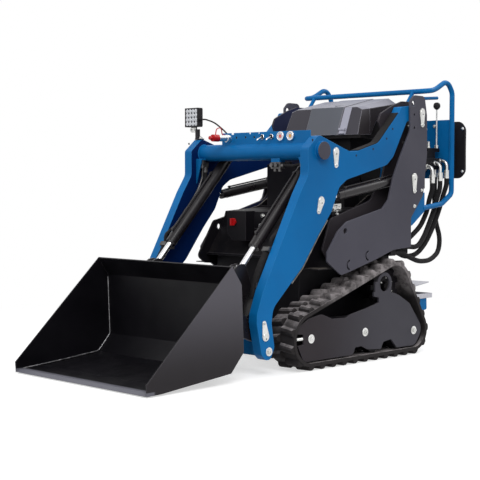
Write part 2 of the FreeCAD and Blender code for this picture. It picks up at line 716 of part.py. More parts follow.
def make_guard_rail():
    """Tube hoop behind the towers, with its posts and feet and the left post's hand bar."""
    side_path = [(-945, 1595, 45), (-1035, 1605, 230), (-1165, 1672, 58), (-1220, 1600, 62),
                 (-1220, 965, 42), (-1115, 902, 90), (-920, 879, 0)]
    left = bent_tube([(-945, 0, 1595)] + [(x, RAIL_HALF, z) for x, z, _ in side_path],
                     RAIL_R, [bend for _, _, bend in side_path])
    foot = plate([(-927, 975), (-927, 860), (-800, 775, 10), (-700, 800, 10), (-760, 960, 10)],
                 TOWER_OUT_IN - RAIL_FOOT, TOWER_OUT_IN)
    post = rod((-945, 404, 1595), (-862, 404, 1490), 12)
    tab = block(-885, -845, 404, TOWER_IN_IN, 1440, 1500)
    left = fuse(left, foot, post, tab)
    hand_bar = bent_tube([(-917, 404, 1560), (-965, 472, 1552), (-1090, 480, 1560)], 10, [30])
    return fuse(left, mirrored(left), hand_bar)


def make_rear_panel():
    """Blue sheet between the rail's uprights, with stand-offs for the pad."""
    half = RAIL_HALF - RAIL_R - SEAT
    sheet = block(-1222, -1222 + PANEL_SHEET, -half, half, 1064, 1430)
    posts = [rod((-1300, y, z), (-1222, y, z), 12) for y in (-430, 430) for z in (1110, 1385)]
    return fuse(sheet, *posts)


def make_thigh_pad():
    """Padded plate that the operator leans on."""
    pad = Part.makeBox(PAD_THICK, 2 * PAD_HALF, 361, V(-1300 - PAD_THICK, -PAD_HALF, 1061))
    corners = [edge for edge in pad.Edges
               if abs(edge.Vertexes[0].Point.x - edge.Vertexes[-1].Point.x) > PAD_THICK - 1]
    return pad.makeFillet(PAD_CORNER, corners)


def make_control_valve():
    """Valve bank on the front of the rear panel, and the manifold between the towers."""
    body = block(-1218, -1030, 340, VALVE_PORT_Y, 1118, 1188)
    spools = [block(x, x + 40, 332, 340, 1125, 1180) for x in (-1205, -1150, -1095)]
    upper = block(-1150, -1045, 355, 424, 1188, 1228)
    bracket = block(-1196, -1080, 396, 424, 1228, 1252)
    bank = fuse(body, *spools, upper, bracket)
    x0, x1, z0, z1 = MANIFOLD
    return Part.makeCompound([bank, block(x0, x1, TOWER_IN_OUT, MANIFOLD_OUT, z0, z1)])


def make_control_levers():
    """Long lever with a round grip and a short bare one, on the valve bank."""
    y = 412
    long_lever = fuse(rod((-1181, y, 1252), (-1181, y, 1272), 12),
                      rod((-1181, y, 1272), (-1181, y, 1518), 5),
                      Part.makeSphere(21, V(-1181, y, 1518)))
    short_lever = fuse(rod((-1094, y, 1252), (-1094, y, 1262), 12),
                       rod((-1094, y, 1262), (-1094, y, 1292), 9))
    return Part.makeCompound([long_lever, short_lever])


def make_control_hoses():
    """Hoses from the valve bank down to the manifold inside the towers."""
    return Part.makeCompound([bent_tube(path, HOSE_R) for path in HOSE_PATHS])


def make_hose_fittings():
    """Curved elbows with their nuts and ferrules at the hoses' upper ends."""
    pieces = []
    for path, port_z in zip(HOSE_PATHS, PORT_ZS):
        x, y, z = path[0]
        nut = rod((x, VALVE_PORT_Y, port_z), (x, VALVE_PORT_Y + 11, port_z), 14)
        elbow = bent_tube([(x, VALVE_PORT_Y, port_z), (x, y, port_z), (x, y, z)], ELBOW_R,
                          [ELBOW_BEND])
        ferrule = rod((x, y, z), (x, y, z + FERRULE_LENGTH), FERRULE_R)
        pieces.append(fuse(nut, elbow, ferrule))
    x, y, z = HOSE_PATHS[-1][0]
    pieces.append(rod((x, y, z), (x, y, 1118), FERRULE_R))
    return Part.makeCompound(pieces)


def make_step_frame():
    """Fixed rear platform: channel with its hinge blocks and bumpers."""
    half = STEP_FRAME_HALF
    tray = block(-1338, -800, -half, half, 296, 302)
    sides = [block(-1338, -800, y, y + 6, 286, 316) for y in (-half - 6, half)]
    stop = block(-1344, -1338, -half - 6, half + 6, 286, 316)
    hinge_blocks = [block(STEP_PIVOT[0] - 14, STEP_PIVOT[0] + 14, y, y + 12, 302, 346)
                    for y in (-STEP_HALF - 19, STEP_HALF + 7)]
    pin = cross_rod(STEP_PIVOT, -STEP_HALF - 19, STEP_HALF + 19, STEP_PIN_R)
    bumpers = [rod((-1290, y, 302), (-1290, y, 368), 12) for y in (-150, 150)]
    return fuse(tray, stop, *sides, *hinge_blocks, pin, *bumpers)


def make_step_brackets():
    """Two side plates that carry the platform from the back of the tub."""
    side = plate([(-800, 296), (-1296, 296), (-1300, 212, 12), (-1230, 200, 20), (-800, 160)],
                 STEP_FRAME_HALF - 14, STEP_FRAME_HALF - 4)
    return both(side)


def make_step_plate():
    """Folding step that rises to the rear and swings up about its front edge."""
    slope = math.radians(7)
    reach = 366.0
    half = STEP_HALF
    sheet = Part.makeBox(reach, 2 * half, 6, V(-reach, -half, 6))
    knuckle = cross_rod((0, 0), -half, half, STEP_PIN_R + 7)
    sheet = fuse(sheet, knuckle)
    sheet = sheet.cut(cross_rod((0, 0), -half, half, STEP_PIN_R + PIN_CLEAR))
    sheet.rotate(V(0, 0, 0), V(0, 1, 0), math.degrees(slope))
    sheet.translate(V(STEP_PIVOT[0], 0, STEP_PIVOT[1]))
    return sheet


# --------------------------------------------------------------------- lift arms
SHOULDER_R = 30.0
ARM_OUTLINE = [
    (133, 1226, 22), (45, 1302, SHOULDER_R), (-218, 1215, 90), (-284, 1216, 90), (-481, 1268, 90),
    (-682, 1459, 25), (-700, 1488, 15), (-905, 1508, 42), (-928, 1420, 42), (-752, 1404, 25),
    (-622, 1190, 60), (-560, 1140, 60), (-197, 1054, 80), (-130, 1011, 60), (-65, 874, 60), (38, 756, 90),
    (177, 575, 90), (412, 362, 90), (424, 280, 60), (401, 150, 40), (432, 87, 25), (468, 87, 25),
    (500, 118, 30), (538, 289, 90), (535, 338, 60), (489, 457, 200), (360, 689, 200),
    (201, 976, 90), (133, 1079, 60),
]


def shoulder_crown():
    """Height of the rounded shoulder at the front of an arm's top."""
    last, here, following = [V(point[0], 0, point[1]) for point in ARM_OUTLINE[:3]]
    back = (last - here).normalize()
    ahead = (following - here).normalize()
    half = back.getAngle(ahead) / 2
    centre = here + (back + ahead).normalize() * (SHOULDER_R / math.sin(half))
    return centre.z + SHOULDER_R


def make_arm():
    """Welded box-section arm, open where the lift rod's eye enters."""
    wire = rounded(ARM_OUTLINE)
    arm = slab(wire, ARM_IN, ARM_OUT)
    hollow_face = Part.Face(wire).makeOffset2D(-ARM_WALL)
    hollow = hollow_face.extrude(V(0, ARM_OUT - ARM_IN - 2 * ARM_WALL, 0))
    hollow.translate(V(0, ARM_IN + ARM_WALL, 0))
    arm = arm.cut(hollow)
    mouth = block(-160, LIFT_EYE[0], ARM_IN + ARM_WALL, ARM_OUT - ARM_WALL, 845, 1012)
    arm = arm.cut(mouth)
    boss = cross_rod(ARM_PIVOT, TOWER_IN_OUT + SIDE_PLAY, TOWER_OUT_IN - SIDE_PLAY, 38)
    attach_boss = cross_rod(ATTACH_PIVOT, ARM_IN, ARM_OUT, 36)
    tube_hole = cross_rod(CROSS_TUBE, ARM_IN, ARM_OUT, CROSS_TUBE_R)
    arm = fuse(arm, boss, attach_boss).cut(tube_hole)
    for place, radius in ((ARM_PIVOT, ARM_PIN_R), (TILT_BASE, TILT_PIN_R),
                          (ATTACH_PIVOT, ATTACH_PIN_R)):
        arm = arm.cut(cross_rod(place, ARM_IN - 10, ARM_OUT + 10, radius + PIN_CLEAR))
    return arm.cut(cross_rod(LIFT_EYE, ARM_MID, ARM_OUT, LIFT_PIN_R + PIN_CLEAR))


PANEL_X = 50.0              # front face of the coupler panel
COUPLER = (-200.0, 1298.0)  # (y, z) of the auxiliary coupler
COUPLER_REACH = 95.0
CAP_REACH = 68.0


def make_cross_tube():
    """Cross tube with the tilt cylinders' brackets, gussets and coupler panel."""
    tube = cross_rod(CROSS_TUBE, -CROSS_TUBE_END, CROSS_TUBE_END, CROSS_TUBE_R)
    outline = [(CROSS_TUBE[0], 1262), (CROSS_TUBE[0], 1168), (-98, 1178, 25), (-132, 1210, 25),
               (-98, 1245, 20)]
    pieces = [tube]
    for side in (-1, 1):
        for y0 in (TILT_BRACKET_IN - BRACKET_PLATE, TILT_BRACKET_OUT):
            bracket = plate(outline, y0, y0 + BRACKET_PLATE)
            bracket = bracket.cut(cross_rod(TILT_BASE, y0, y0 + BRACKET_PLATE,
                                            TILT_PIN_R + PIN_CLEAR))
            pieces.append(bracket if side > 0 else mirrored(bracket))
        gusset = Part.Face(Part.makePolygon([V(94, ARM_IN, 1172), V(94, 395, 1180),
                                             V(94, ARM_IN, 1030), V(94, ARM_IN, 1172)]))
        gusset = gusset.extrude(V(-8, 0, 0))
        web = block(30, 94, 395, ARM_IN, 1172, 1180)
        gusset = gusset.fuse(web)
        pieces.append(gusset if side > 0 else mirrored(gusset))
    panel = block(PANEL_X - PANEL_SHEET, PANEL_X, -263, ARM_IN, 1256, 1330)
    for y0, y1 in ((-185, -163), (-35, -23), (40, 48)):
        panel = panel.cut(block(PANEL_X - PANEL_SHEET, PANEL_X, y0, y1, 1320, 1330))
    for y in (-142, -65, 7):
        panel = panel.cut(rod((PANEL_X - PANEL_SHEET, y, 1301), (PANEL_X, y, 1301), 7))
    x, y, z = LAMP_CABLE[-1]
    boss = rod((x, y, CROSS_TUBE[1]), (x, y, z), CABLE_R + 4)
    saddle = block(12, 58, 150, 215, 1154, 1175)
    return fuse(*pieces, panel, boss, saddle)


def make_lower_cross_member():
    return block(392, 430, -ARM_IN, ARM_IN, 98, 178)


def make_arm_pins():
    """Pins and keeper plates that ride on the arms."""
    pins = []
    for place, radius, bolt, reach in (
            (TILT_BASE, TILT_PIN_R, (-99, 1133), TILT_BRACKET_IN - BRACKET_PLATE),
            (LIFT_EYE, LIFT_PIN_R, (48, 876), ARM_OUT - ARM_WALL),
            (ATTACH_PIVOT, ATTACH_PIN_R, (484, 287), LUG_IN)):
        pin = cross_rod(place, reach, ARM_OUT, radius)
        keeper = teardrop(place, bolt, ARM_OUT, ARM_OUT + 5, 25, 14)
        pins.append(fuse(pin, keeper))
    return both(Part.makeCompound(pins))


def make_work_lamp():
    """Work lamp housing on its bracket over the right arm."""
    housing = block(25, 65, -577, -462, 1376, 1492)
    recess = block(61, 65, -571, -468, 1382, 1486)
    fins = [block(17, 25, y, y + 4, 1382, 1486) for y in range(-570, -468, 14)]
    yoke = block(34, 46, -540, -500, 1345, 1376)
    seat = shoulder_crown() + SEAT
    stem = block(30, 50, -500, -478, seat, 1362)
    foot = block(22, 54, -500, -450, seat, seat + 6)
    x, y, z = LAMP_CABLE[0]
    gland = rod((x, -462, z), (x, y, z), CABLE_R + 4)
    return fuse(housing.cut(recess), *fins, yoke, stem, foot, gland)


def make_lamp_lens():
    return block(61, 64, -571, -468, 1382, 1486)


def make_aux_coupler():
    """Auxiliary hydraulic coupler that points forward from the panel."""
    y, z = COUPLER
    collar = rod((PANEL_X, y, z), (PANEL_X + 30, y, z), 22)
    body = rod((PANEL_X, y, z), (PANEL_X + COUPLER_REACH, y, z), 19)
    return fuse(collar, body)


def make_coupler_cap():
    """Red dust cap on the coupler's end, tied to the coupler's base by its cord."""
    y, z = COUPLER
    end = PANEL_X + COUPLER_REACH
    cap = rod((end, y, z), (end + 45, y, z), 21)
    nose = rod((end, y, z), (end + CAP_REACH, y, z), 11)
    cord = bent_tube([(end + 20, y, z + 17), (end + 14, y, z + 54), (end - 40, y - 14, z + 66),
                      (PANEL_X + 34, y - 28, z + 20), (PANEL_X, y - 28, z + 20)], 3)
    return fuse(cap, nose, cord)


def make_gauges():
    """Two round gauges and two toggle switches on the panel's front."""
    pieces = [rod((PANEL_X, y, 1301), (PANEL_X + 12, y, 1301), 24) for y in (225, 302)]
    for y in (77, 150):
        bush = rod((PANEL_X, y, 1301), (PANEL_X + 12, y, 1301), 12)
        toggle = rod((PANEL_X + 8, y, 1301), (PANEL_X + 44, y, 1284), 3.5)
        pieces.append(fuse(bush, toggle))
    return Part.makeCompound(pieces)


def make_tube_caps():
    """Dark end discs of the cross tube."""
    return both(cross_rod(CROSS_TUBE, CROSS_TUBE_END, CROSS_TUBE_END + CAP_DISC, CROSS_TUBE_R))


def make_lamp_cable():
    """Cable from the lamp's gland along the panel to a boss on the cross tube."""
    return bent_tube(LAMP_CABLE, CABLE_R)


def make_arm_hoses():
    """Hoses and their sleeve along both arms, and the hose across to the coupler's valve."""
    end_x, end_z = [sum(values) / 2 for values in zip(*SLEEVE_FACE)]
    normal = V(SLEEVE_FACE[1][1] - SLEEVE_FACE[0][1], 0,
               SLEEVE_FACE[0][0] - SLEEVE_FACE[1][0]).normalize()
    turn = (end_x + 90 * normal.x, end_z + 90 * normal.z)
    sleeve = bent_tube([(x, SLEEVE_Y, z) for x, z in ((end_x, end_z), turn, *SLEEVE_RUN)],
                       SLEEVE_R)
    side = [bent_tube(ARM_HOSE_A, ARM_HOSE_R), bent_tube(ARM_HOSE_B, ARM_HOSE_R), sleeve]
    across = bent_tube(ACROSS_HOSE, ACROSS_HOSE_R)
    return Part.makeCompound(side + [mirrored(hose) for hose in side] + [across])


def make_arm_fittings():
    """Hose blocks, steel pipes, ferrules and sleeve clamps, and the coupler's valve."""
    x, y, z = ARM_HOSE_A[0]
    junction = plate([(34, 1124), (84, 1124), (84, 1172), (65, 1172), (60, 1160), (34, 1160)],
                     396, 440)
    collar = rod((x, y, z), (x, y, 1128), ARM_HOSE_R + 3)
    back = (V(*ARM_HOSE_B[0]) - V(*ARM_HOSE_B[1])).normalize()
    pipe = bent_tube([*ARM_PIPE, V(*ARM_HOSE_B[0]) + back * 30], ARM_PIPE_R)
    crimp = Part.makeCylinder(ARM_HOSE_R + 3, 34, V(*ARM_HOSE_B[0]), back)
    hub = fuse(junction, collar, pipe, crimp)
    end_block = plate([(316, 690), (378, 690), SLEEVE_FACE[1], SLEEVE_FACE[0], (316, 641.5)],
                      395, ARM_IN)
    clamp_low = SLEEVE_Y + SLEEVE_R + SEAT
    clamp = block(452, 480, clamp_low, ARM_IN, 470, 500)
    x, y, z = ACROSS_HOSE[0]
    valve = block(18, 56, 146, y - 20, 1116, 1154)
    port = rod((x, y - 20, z), (x, y, z), ACROSS_HOSE_R + 3)
    plugs = [rod((56, spot, 1136), (72, spot, 1136), 12) for spot in (162, 196)]
    knobs = [rod((36, spot, 1100), (36, spot, 1116), 11) for spot in (164, 200)]
    return Part.makeCompound([both(hub, end_block, clamp), fuse(valve, port, *plugs, *knobs)])


def make_pump_group():
    """Small pump on the nose's top cover, with its two outward fittings."""
    (x0, z0), (x1, z1) = PANEL_RUN[2:]

    def cover_z(x):
        return z0 + (z1 - z0) * (x - x0) / (x1 - x0)
    body = plate([(-290, cover_z(-290)), (-180, cover_z(-180)), (-180, 908, 6), (-290, 915, 6)],
                 332, 384)
    short = rod((-255, 384, 893), (-255, 402, 893), 13)
    tall = rod((-208, 384, 890), (-208, 434, 890), 9)
    corner = Part.makeSphere(12, V(-208, 434, 890))
    onward = rod((-208, 434, 890), (-176, 434, 890), 9)
    nut = rod((-194, 434, 890), (-180, 434, 890), 12)
    lid = rod((-235, 350, 905), (-235, 350, 926), 12)
    return fuse(body, short, tall, corner, onward, nut, lid)


# ------------------------------------------------------------- cylinders, left side
def local_axis(base, eye):
    run = V(eye[0] - base[0], 0, eye[1] - base[1])
    return V(run).normalize(), run.Length


def along(base, ahead, distance, y):
    return (base[0] + ahead.x * distance, y, base[1] + ahead.z * distance)


def make_barrel(base, eye, y, radius, rod_radius, length, pin_radius, pipe):
    """Cylinder barrel: base eye, tube, gland and bore, with its oil pipe on top.

    The pipe is (radius, start, end), with the places along the barrel from the base pin.
    """
    ahead, _ = local_axis(base, eye)
    half = radius - EYE_TRIM
    eye_body = cross_rod(base, y - half, y + half, EYE_R)
    tube = rod(along(base, ahead, BARREL_FLOOR - 12, y), along(base, ahead, length, y), radius)
    bore = rod(along(base, ahead, BARREL_FLOOR, y), along(base, ahead, length + 1, y),
               rod_radius + ROD_CLEAR)
    gland = rod(along(base, ahead, length - GLAND_LENGTH, y), along(base, ahead, length, y),
                radius - GLAND_GROW)
    tube = rod(along(base, ahead, BARREL_FLOOR - 12, y),
               along(base, ahead, length - GLAND_LENGTH, y), radius)
    pipe_r, start, end = pipe
    outward = V(-ahead.z, 0, ahead.x) * (radius + pipe_r + 2)
    line = rod(along((base[0] + outward.x, base[1] + outward.z), ahead, start, y),
               along((base[0] + outward.x, base[1] + outward.z), ahead, end, y), pipe_r)
    ports = []
    for spot in (start + 12, end - 12):
        foot = V(*along(base, ahead, spot, y))
        ports.append(Part.makeCylinder(pipe_r + 3, outward.Length + pipe_r + 1, foot, outward))
    barrel = fuse(eye_body, tube, gland, line, *ports).cut(bore)
    return barrel.cut(cross_rod(base, y - radius, y + radius, pin_radius + PIN_CLEAR))


def make_rod(base, eye, y, radius, length, width):
    """Piston rod with the eye at its outer end."""
    ahead, reach = local_axis(base, eye)
    shaft = rod(along(base, ahead, reach - length, y), along(base, ahead, reach - 10, y), radius)
    eye_body = cross_rod(eye, y - width / 2, y + width / 2, EYE_R - 2)
    eye_hole = cross_rod(eye, y - width, y + width, LIFT_PIN_R + PIN_CLEAR)
    return fuse(shaft, eye_body).cut(eye_hole)


# ---------------------------------------------------------------------- attachment
LUG_IN = 405.0
LUG_PLATE = 32.0
EAR_PLATE = 10.0
EAR_GAP = 2.0               # beside the tilt rod's eye
BACK_LOW = (680.0, 157.0)
BACK_HIGH = (696.0, 510.0)
ATTACH_THICK = 12.0


def back_x(z, offset):
    """X of the bucket's back face at a height, moved rearward by an offset."""
    share = (z - BACK_LOW[1]) / (BACK_HIGH[1] - BACK_LOW[1])
    return BACK_LOW[0] + share * (BACK_HIGH[0] - BACK_LOW[0]) - offset


def make_attach_frame():
    """Quick-attach frame: back plate, pivot lugs and tilt ears."""
    z0 = 180.0
    z1 = 500.0
    sheet = plate([(back_x(z0, 0), z0), (back_x(z1, 0), z1),
                   (back_x(z1, ATTACH_THICK), z1), (back_x(z0, ATTACH_THICK), z0)],
                  -LUG_IN - LUG_PLATE, LUG_IN + LUG_PLATE)
    window = plate([(640, 240, 20), (640, 420, 20), (740, 420, 20), (740, 240, 20)], -220, 220)
    lug = plate([
        (439, 190, 24), (480, 178, 24), (back_x(250, 6), 252), (back_x(400, 6), 400),
        (560, 330, 60), (455, 262, 30),
    ], LUG_IN, LUG_IN + LUG_PLATE)
    lug = lug.cut(cross_rod(ATTACH_PIVOT, LUG_IN, LUG_IN + LUG_PLATE,
                            ATTACH_PIN_R + PIN_CLEAR))
    ear_outline = [(490, 602, 26), (540, 596, 24), (back_x(495, 6), 495), (back_x(200, 6), 200),
                   (600, 215, 30), (459, 327, 60), (414, 396, 40)]
    ears = []
    half_gap = EYE_WIDTH / 2 + EAR_GAP
    for y0 in (TILT_Y - half_gap - EAR_PLATE, TILT_Y + half_gap):
        ears.append(plate(ear_outline, y0, y0 + EAR_PLATE))
    side = fuse(lug, *ears)
    return fuse(sheet.cut(window), side, mirrored(side))


def make_bucket():
    """Dirt bucket: two sides, one bent sheet and a thick cutting edge."""
    side_outline = [(1342, 5), (1346, 61, 4), (765, 608), (696, 510, 14), (680, 157, 14),
                    (772, 55, 14), (1247, 8)]
    left = plate(side_outline, BUCKET_HALF - BUCKET_SIDE, BUCKET_HALF)
    t = BUCKET_SHEET
    outside = [(1250, 8), (772, 55, 14), (680, 157, 14), (696, 510, 10), (765, 608)]
    inside = [(765 + t, 604), (696 + t, 506, 8), (680 + t, 160, 10), (774, 55 + t, 10),
              (1250, 8 + t)]
    sheet = plate(outside + inside, -BUCKET_HALF + BUCKET_SIDE, BUCKET_HALF - BUCKET_SIDE)
    edge = plate([(1342, 5), (1342, 7), (1318, 5 + EDGE_PLATE), (1190, 14 + EDGE_PLATE),
                  (1190, 14), (1247, 8)],
                 -BUCKET_HALF + BUCKET_SIDE, BUCKET_HALF - BUCKET_SIDE)
    return fuse(left, mirrored(left), sheet, edge)


# ----------------------------------------------------------------------- write all
def main():
    save_pair("track", make_track())
    save_pair("track_frame", make_track_frame())
    save_pair("track_wheels", Part.makeCompound([idler(FRONT_IDLER), idler(REAR_IDLER),
                                                 *make_rollers()]))
    save_pair("drive_sprocket", make_sprocket())
    save("chassis_tub", make_tub())
    save("body_floor", make_floor())
    save_pair("side_plate", make_side_plate())
    save("front_panel", make_front_panel())
    save("battery_box", make_battery_box())
    save("isolator_switch", make_isolator_switch())
    save_pair("tower_outer", make_tower_outer())
    save_pair("tower_inner", make_tower_inner())
    save("tower_pins", make_tower_pins())
    save("engine_deck", make_deck())
    save("hydraulic_tank", make_tank())
    save("engine", make_engine())
    save("hood", make_hood())
    save("hood_strap", make_hood_strap())
    save("guard_rail", make_guard_rail())
    save("rear_panel", make_rear_panel())
    save("thigh_pad", make_thigh_pad())
    save("control_valve", make_control_valve())
    save("control_levers", make_control_levers())
    save("control_hoses", make_control_hoses())
    save("hose_fittings", make_hose_fittings())
    save("pump_group", make_pump_group())
    save("step_frame", make_step_frame())
    save("step_brackets", make_step_brackets())
    save("step_plate", make_step_plate())
    save_pair("lift_arm", make_arm())
    save("arm_cross_tube", make_cross_tube())
    save("tube_caps", make_tube_caps())
    save("arm_hoses", make_arm_hoses())
    save("arm_fittings", make_arm_fittings())
    save("lower_cross_member", make_lower_cross_member())
    save("arm_pins", make_arm_pins())
    save("work_lamp", make_work_lamp())
    save("lamp_lens", make_lamp_lens())
    save("lamp_cable", make_lamp_cable())
    save("aux_coupler", make_aux_coupler())
    save("coupler_cap", make_coupler_cap())
    save("panel_gauges", make_gauges())
    save_pair("lift_barrel", make_barrel(LIFT_BASE, LIFT_EYE, ARM_MID, LIFT_BARREL_R, LIFT_ROD_R,
                                         LIFT_BARREL_LENGTH, LIFT_PIN_R, LIFT_PIPE))
    save_pair("lift_rod", make_rod(LIFT_BASE, LIFT_EYE, ARM_MID, LIFT_ROD_R,
                                   LIFT_ROD_LENGTH, EYE_WIDTH))
    save_pair("tilt_barrel", make_barrel(TILT_BASE, TILT_EYE, TILT_Y, TILT_BARREL_R, TILT_ROD_R,
                                         TILT_BARREL_LENGTH, TILT_PIN_R, TILT_PIPE))
    save_pair("tilt_rod", make_rod(TILT_BASE, TILT_EYE, TILT_Y, TILT_ROD_R,
                                   TILT_ROD_LENGTH, EYE_WIDTH))
    save("attach_frame", make_attach_frame())
    save("bucket", make_bucket())


main()
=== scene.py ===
"""Looks of the mini track loader: surfaces, small pieces, light, floor and camera.

Lengths are metres in the frame of the solids: X ahead, Y to the left and Z up.
"""
import bmesh
import bpy
import json
import math
from mathutils import Matrix, Vector


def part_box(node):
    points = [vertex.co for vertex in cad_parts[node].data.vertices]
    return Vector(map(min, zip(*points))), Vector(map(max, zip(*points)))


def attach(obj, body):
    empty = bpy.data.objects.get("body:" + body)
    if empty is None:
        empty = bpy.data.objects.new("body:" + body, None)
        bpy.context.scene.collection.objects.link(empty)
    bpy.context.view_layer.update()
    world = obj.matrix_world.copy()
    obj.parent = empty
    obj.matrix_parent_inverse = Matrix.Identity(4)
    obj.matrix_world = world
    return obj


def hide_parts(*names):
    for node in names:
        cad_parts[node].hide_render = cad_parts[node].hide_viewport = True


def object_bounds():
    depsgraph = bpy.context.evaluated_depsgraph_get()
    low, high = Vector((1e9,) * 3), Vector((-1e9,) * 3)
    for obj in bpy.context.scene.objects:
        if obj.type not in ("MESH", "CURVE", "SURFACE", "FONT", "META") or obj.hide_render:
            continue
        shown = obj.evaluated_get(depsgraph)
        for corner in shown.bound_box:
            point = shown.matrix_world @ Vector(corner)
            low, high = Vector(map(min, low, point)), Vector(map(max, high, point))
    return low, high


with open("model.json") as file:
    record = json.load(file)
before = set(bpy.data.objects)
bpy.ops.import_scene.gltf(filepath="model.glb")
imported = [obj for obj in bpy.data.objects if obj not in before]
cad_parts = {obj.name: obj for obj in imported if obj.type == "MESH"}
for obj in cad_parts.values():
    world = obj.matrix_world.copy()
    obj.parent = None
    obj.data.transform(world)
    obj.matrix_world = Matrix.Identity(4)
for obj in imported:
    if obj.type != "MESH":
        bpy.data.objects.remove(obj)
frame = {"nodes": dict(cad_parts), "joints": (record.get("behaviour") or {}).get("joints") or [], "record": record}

NODES = frame["nodes"]
JOINTS = {joint["name"]: joint for joint in frame["joints"]}
cad_low, cad_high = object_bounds()


# --------------------------------------------------------------------------- places
def pivot(joint):
    """(x, z) of a joint's axis."""
    x, _, z = JOINTS[joint]["pos_m"]
    return x, z


AHEAD = (1.0, 0.0, 0.0)
LEFT = (0.0, 1.0, 0.0)
UP = (0.0, 0.0, 1.0)
SIDES = (1, -1)             # left and right, as the sign of Y

# Axes across the machine, as (x, z)
ARM_PIVOT = pivot("lift")
LIFT_BASE = pivot("lift_barrel_swing_left")
LIFT_EYE = (0.026, 0.935)
TILT_BASE = pivot("tilt_barrel_swing_left")
ATTACH_PIVOT = pivot("bucket_tilt")
SPROCKET = (-0.595, 0.415)
CROSS_TUBE = (0.026, 1.214)
CROSS_TUBE_R = 0.050

# Faces, as distances from the middle plane to each side
COVER_OUT = 0.540                               # track frames' covers
TOWER_PIN_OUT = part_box("tower_pins")[1].y
TOWER_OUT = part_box("tower_outer_left")[1].y
TOWER_INNER_OUT = 0.439                         # inner tower plates, toward the arms
HUB_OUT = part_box("drive_sprocket_left")[1].y
SPROCKET_OUT = 0.476                            # under the hubs' bolts
SIDE_OUT = 0.400                                # body's side plates
ARM_PIN_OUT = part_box("arm_pins")[1].y
ARM_OUT = 0.504
ARM_IN = 0.445
BUCKET_IN = 0.544

# Faces that look ahead
PANEL_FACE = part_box("panel_gauges")[0].x
REAR_PANEL_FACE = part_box("rear_panel")[1].x

GAUGE_Z = 1.301             # height of the panel's row of gauges and couplers
SKIM = 0.0002               # gap or overlap that keeps two faces from lying in one plane

# Stretches over which a shade comes in, from and to, along an axis
COVER_FADE = (0.15, -0.55)
TRACK_DUST = (0.33, 0.43)
HOOD_BAND_RIGHT = (-0.1225, -0.1215)
HOOD_BAND_LEFT = (0.1415, 0.1405)
# The bucket's painted light: across to its outer sides, and up them
BUCKET_SIDES = (0.5480, 0.5492)
BUCKET_RISE = (0.05, 0.56)
BUCKET_SCUFFS = (0.09, 0.0)
# Where the painted highlight along the bucket's lip lies, ahead and in height
LIP_AHEAD = (1.285, 1.30)
LIP_TOP = (0.026, 0.021)


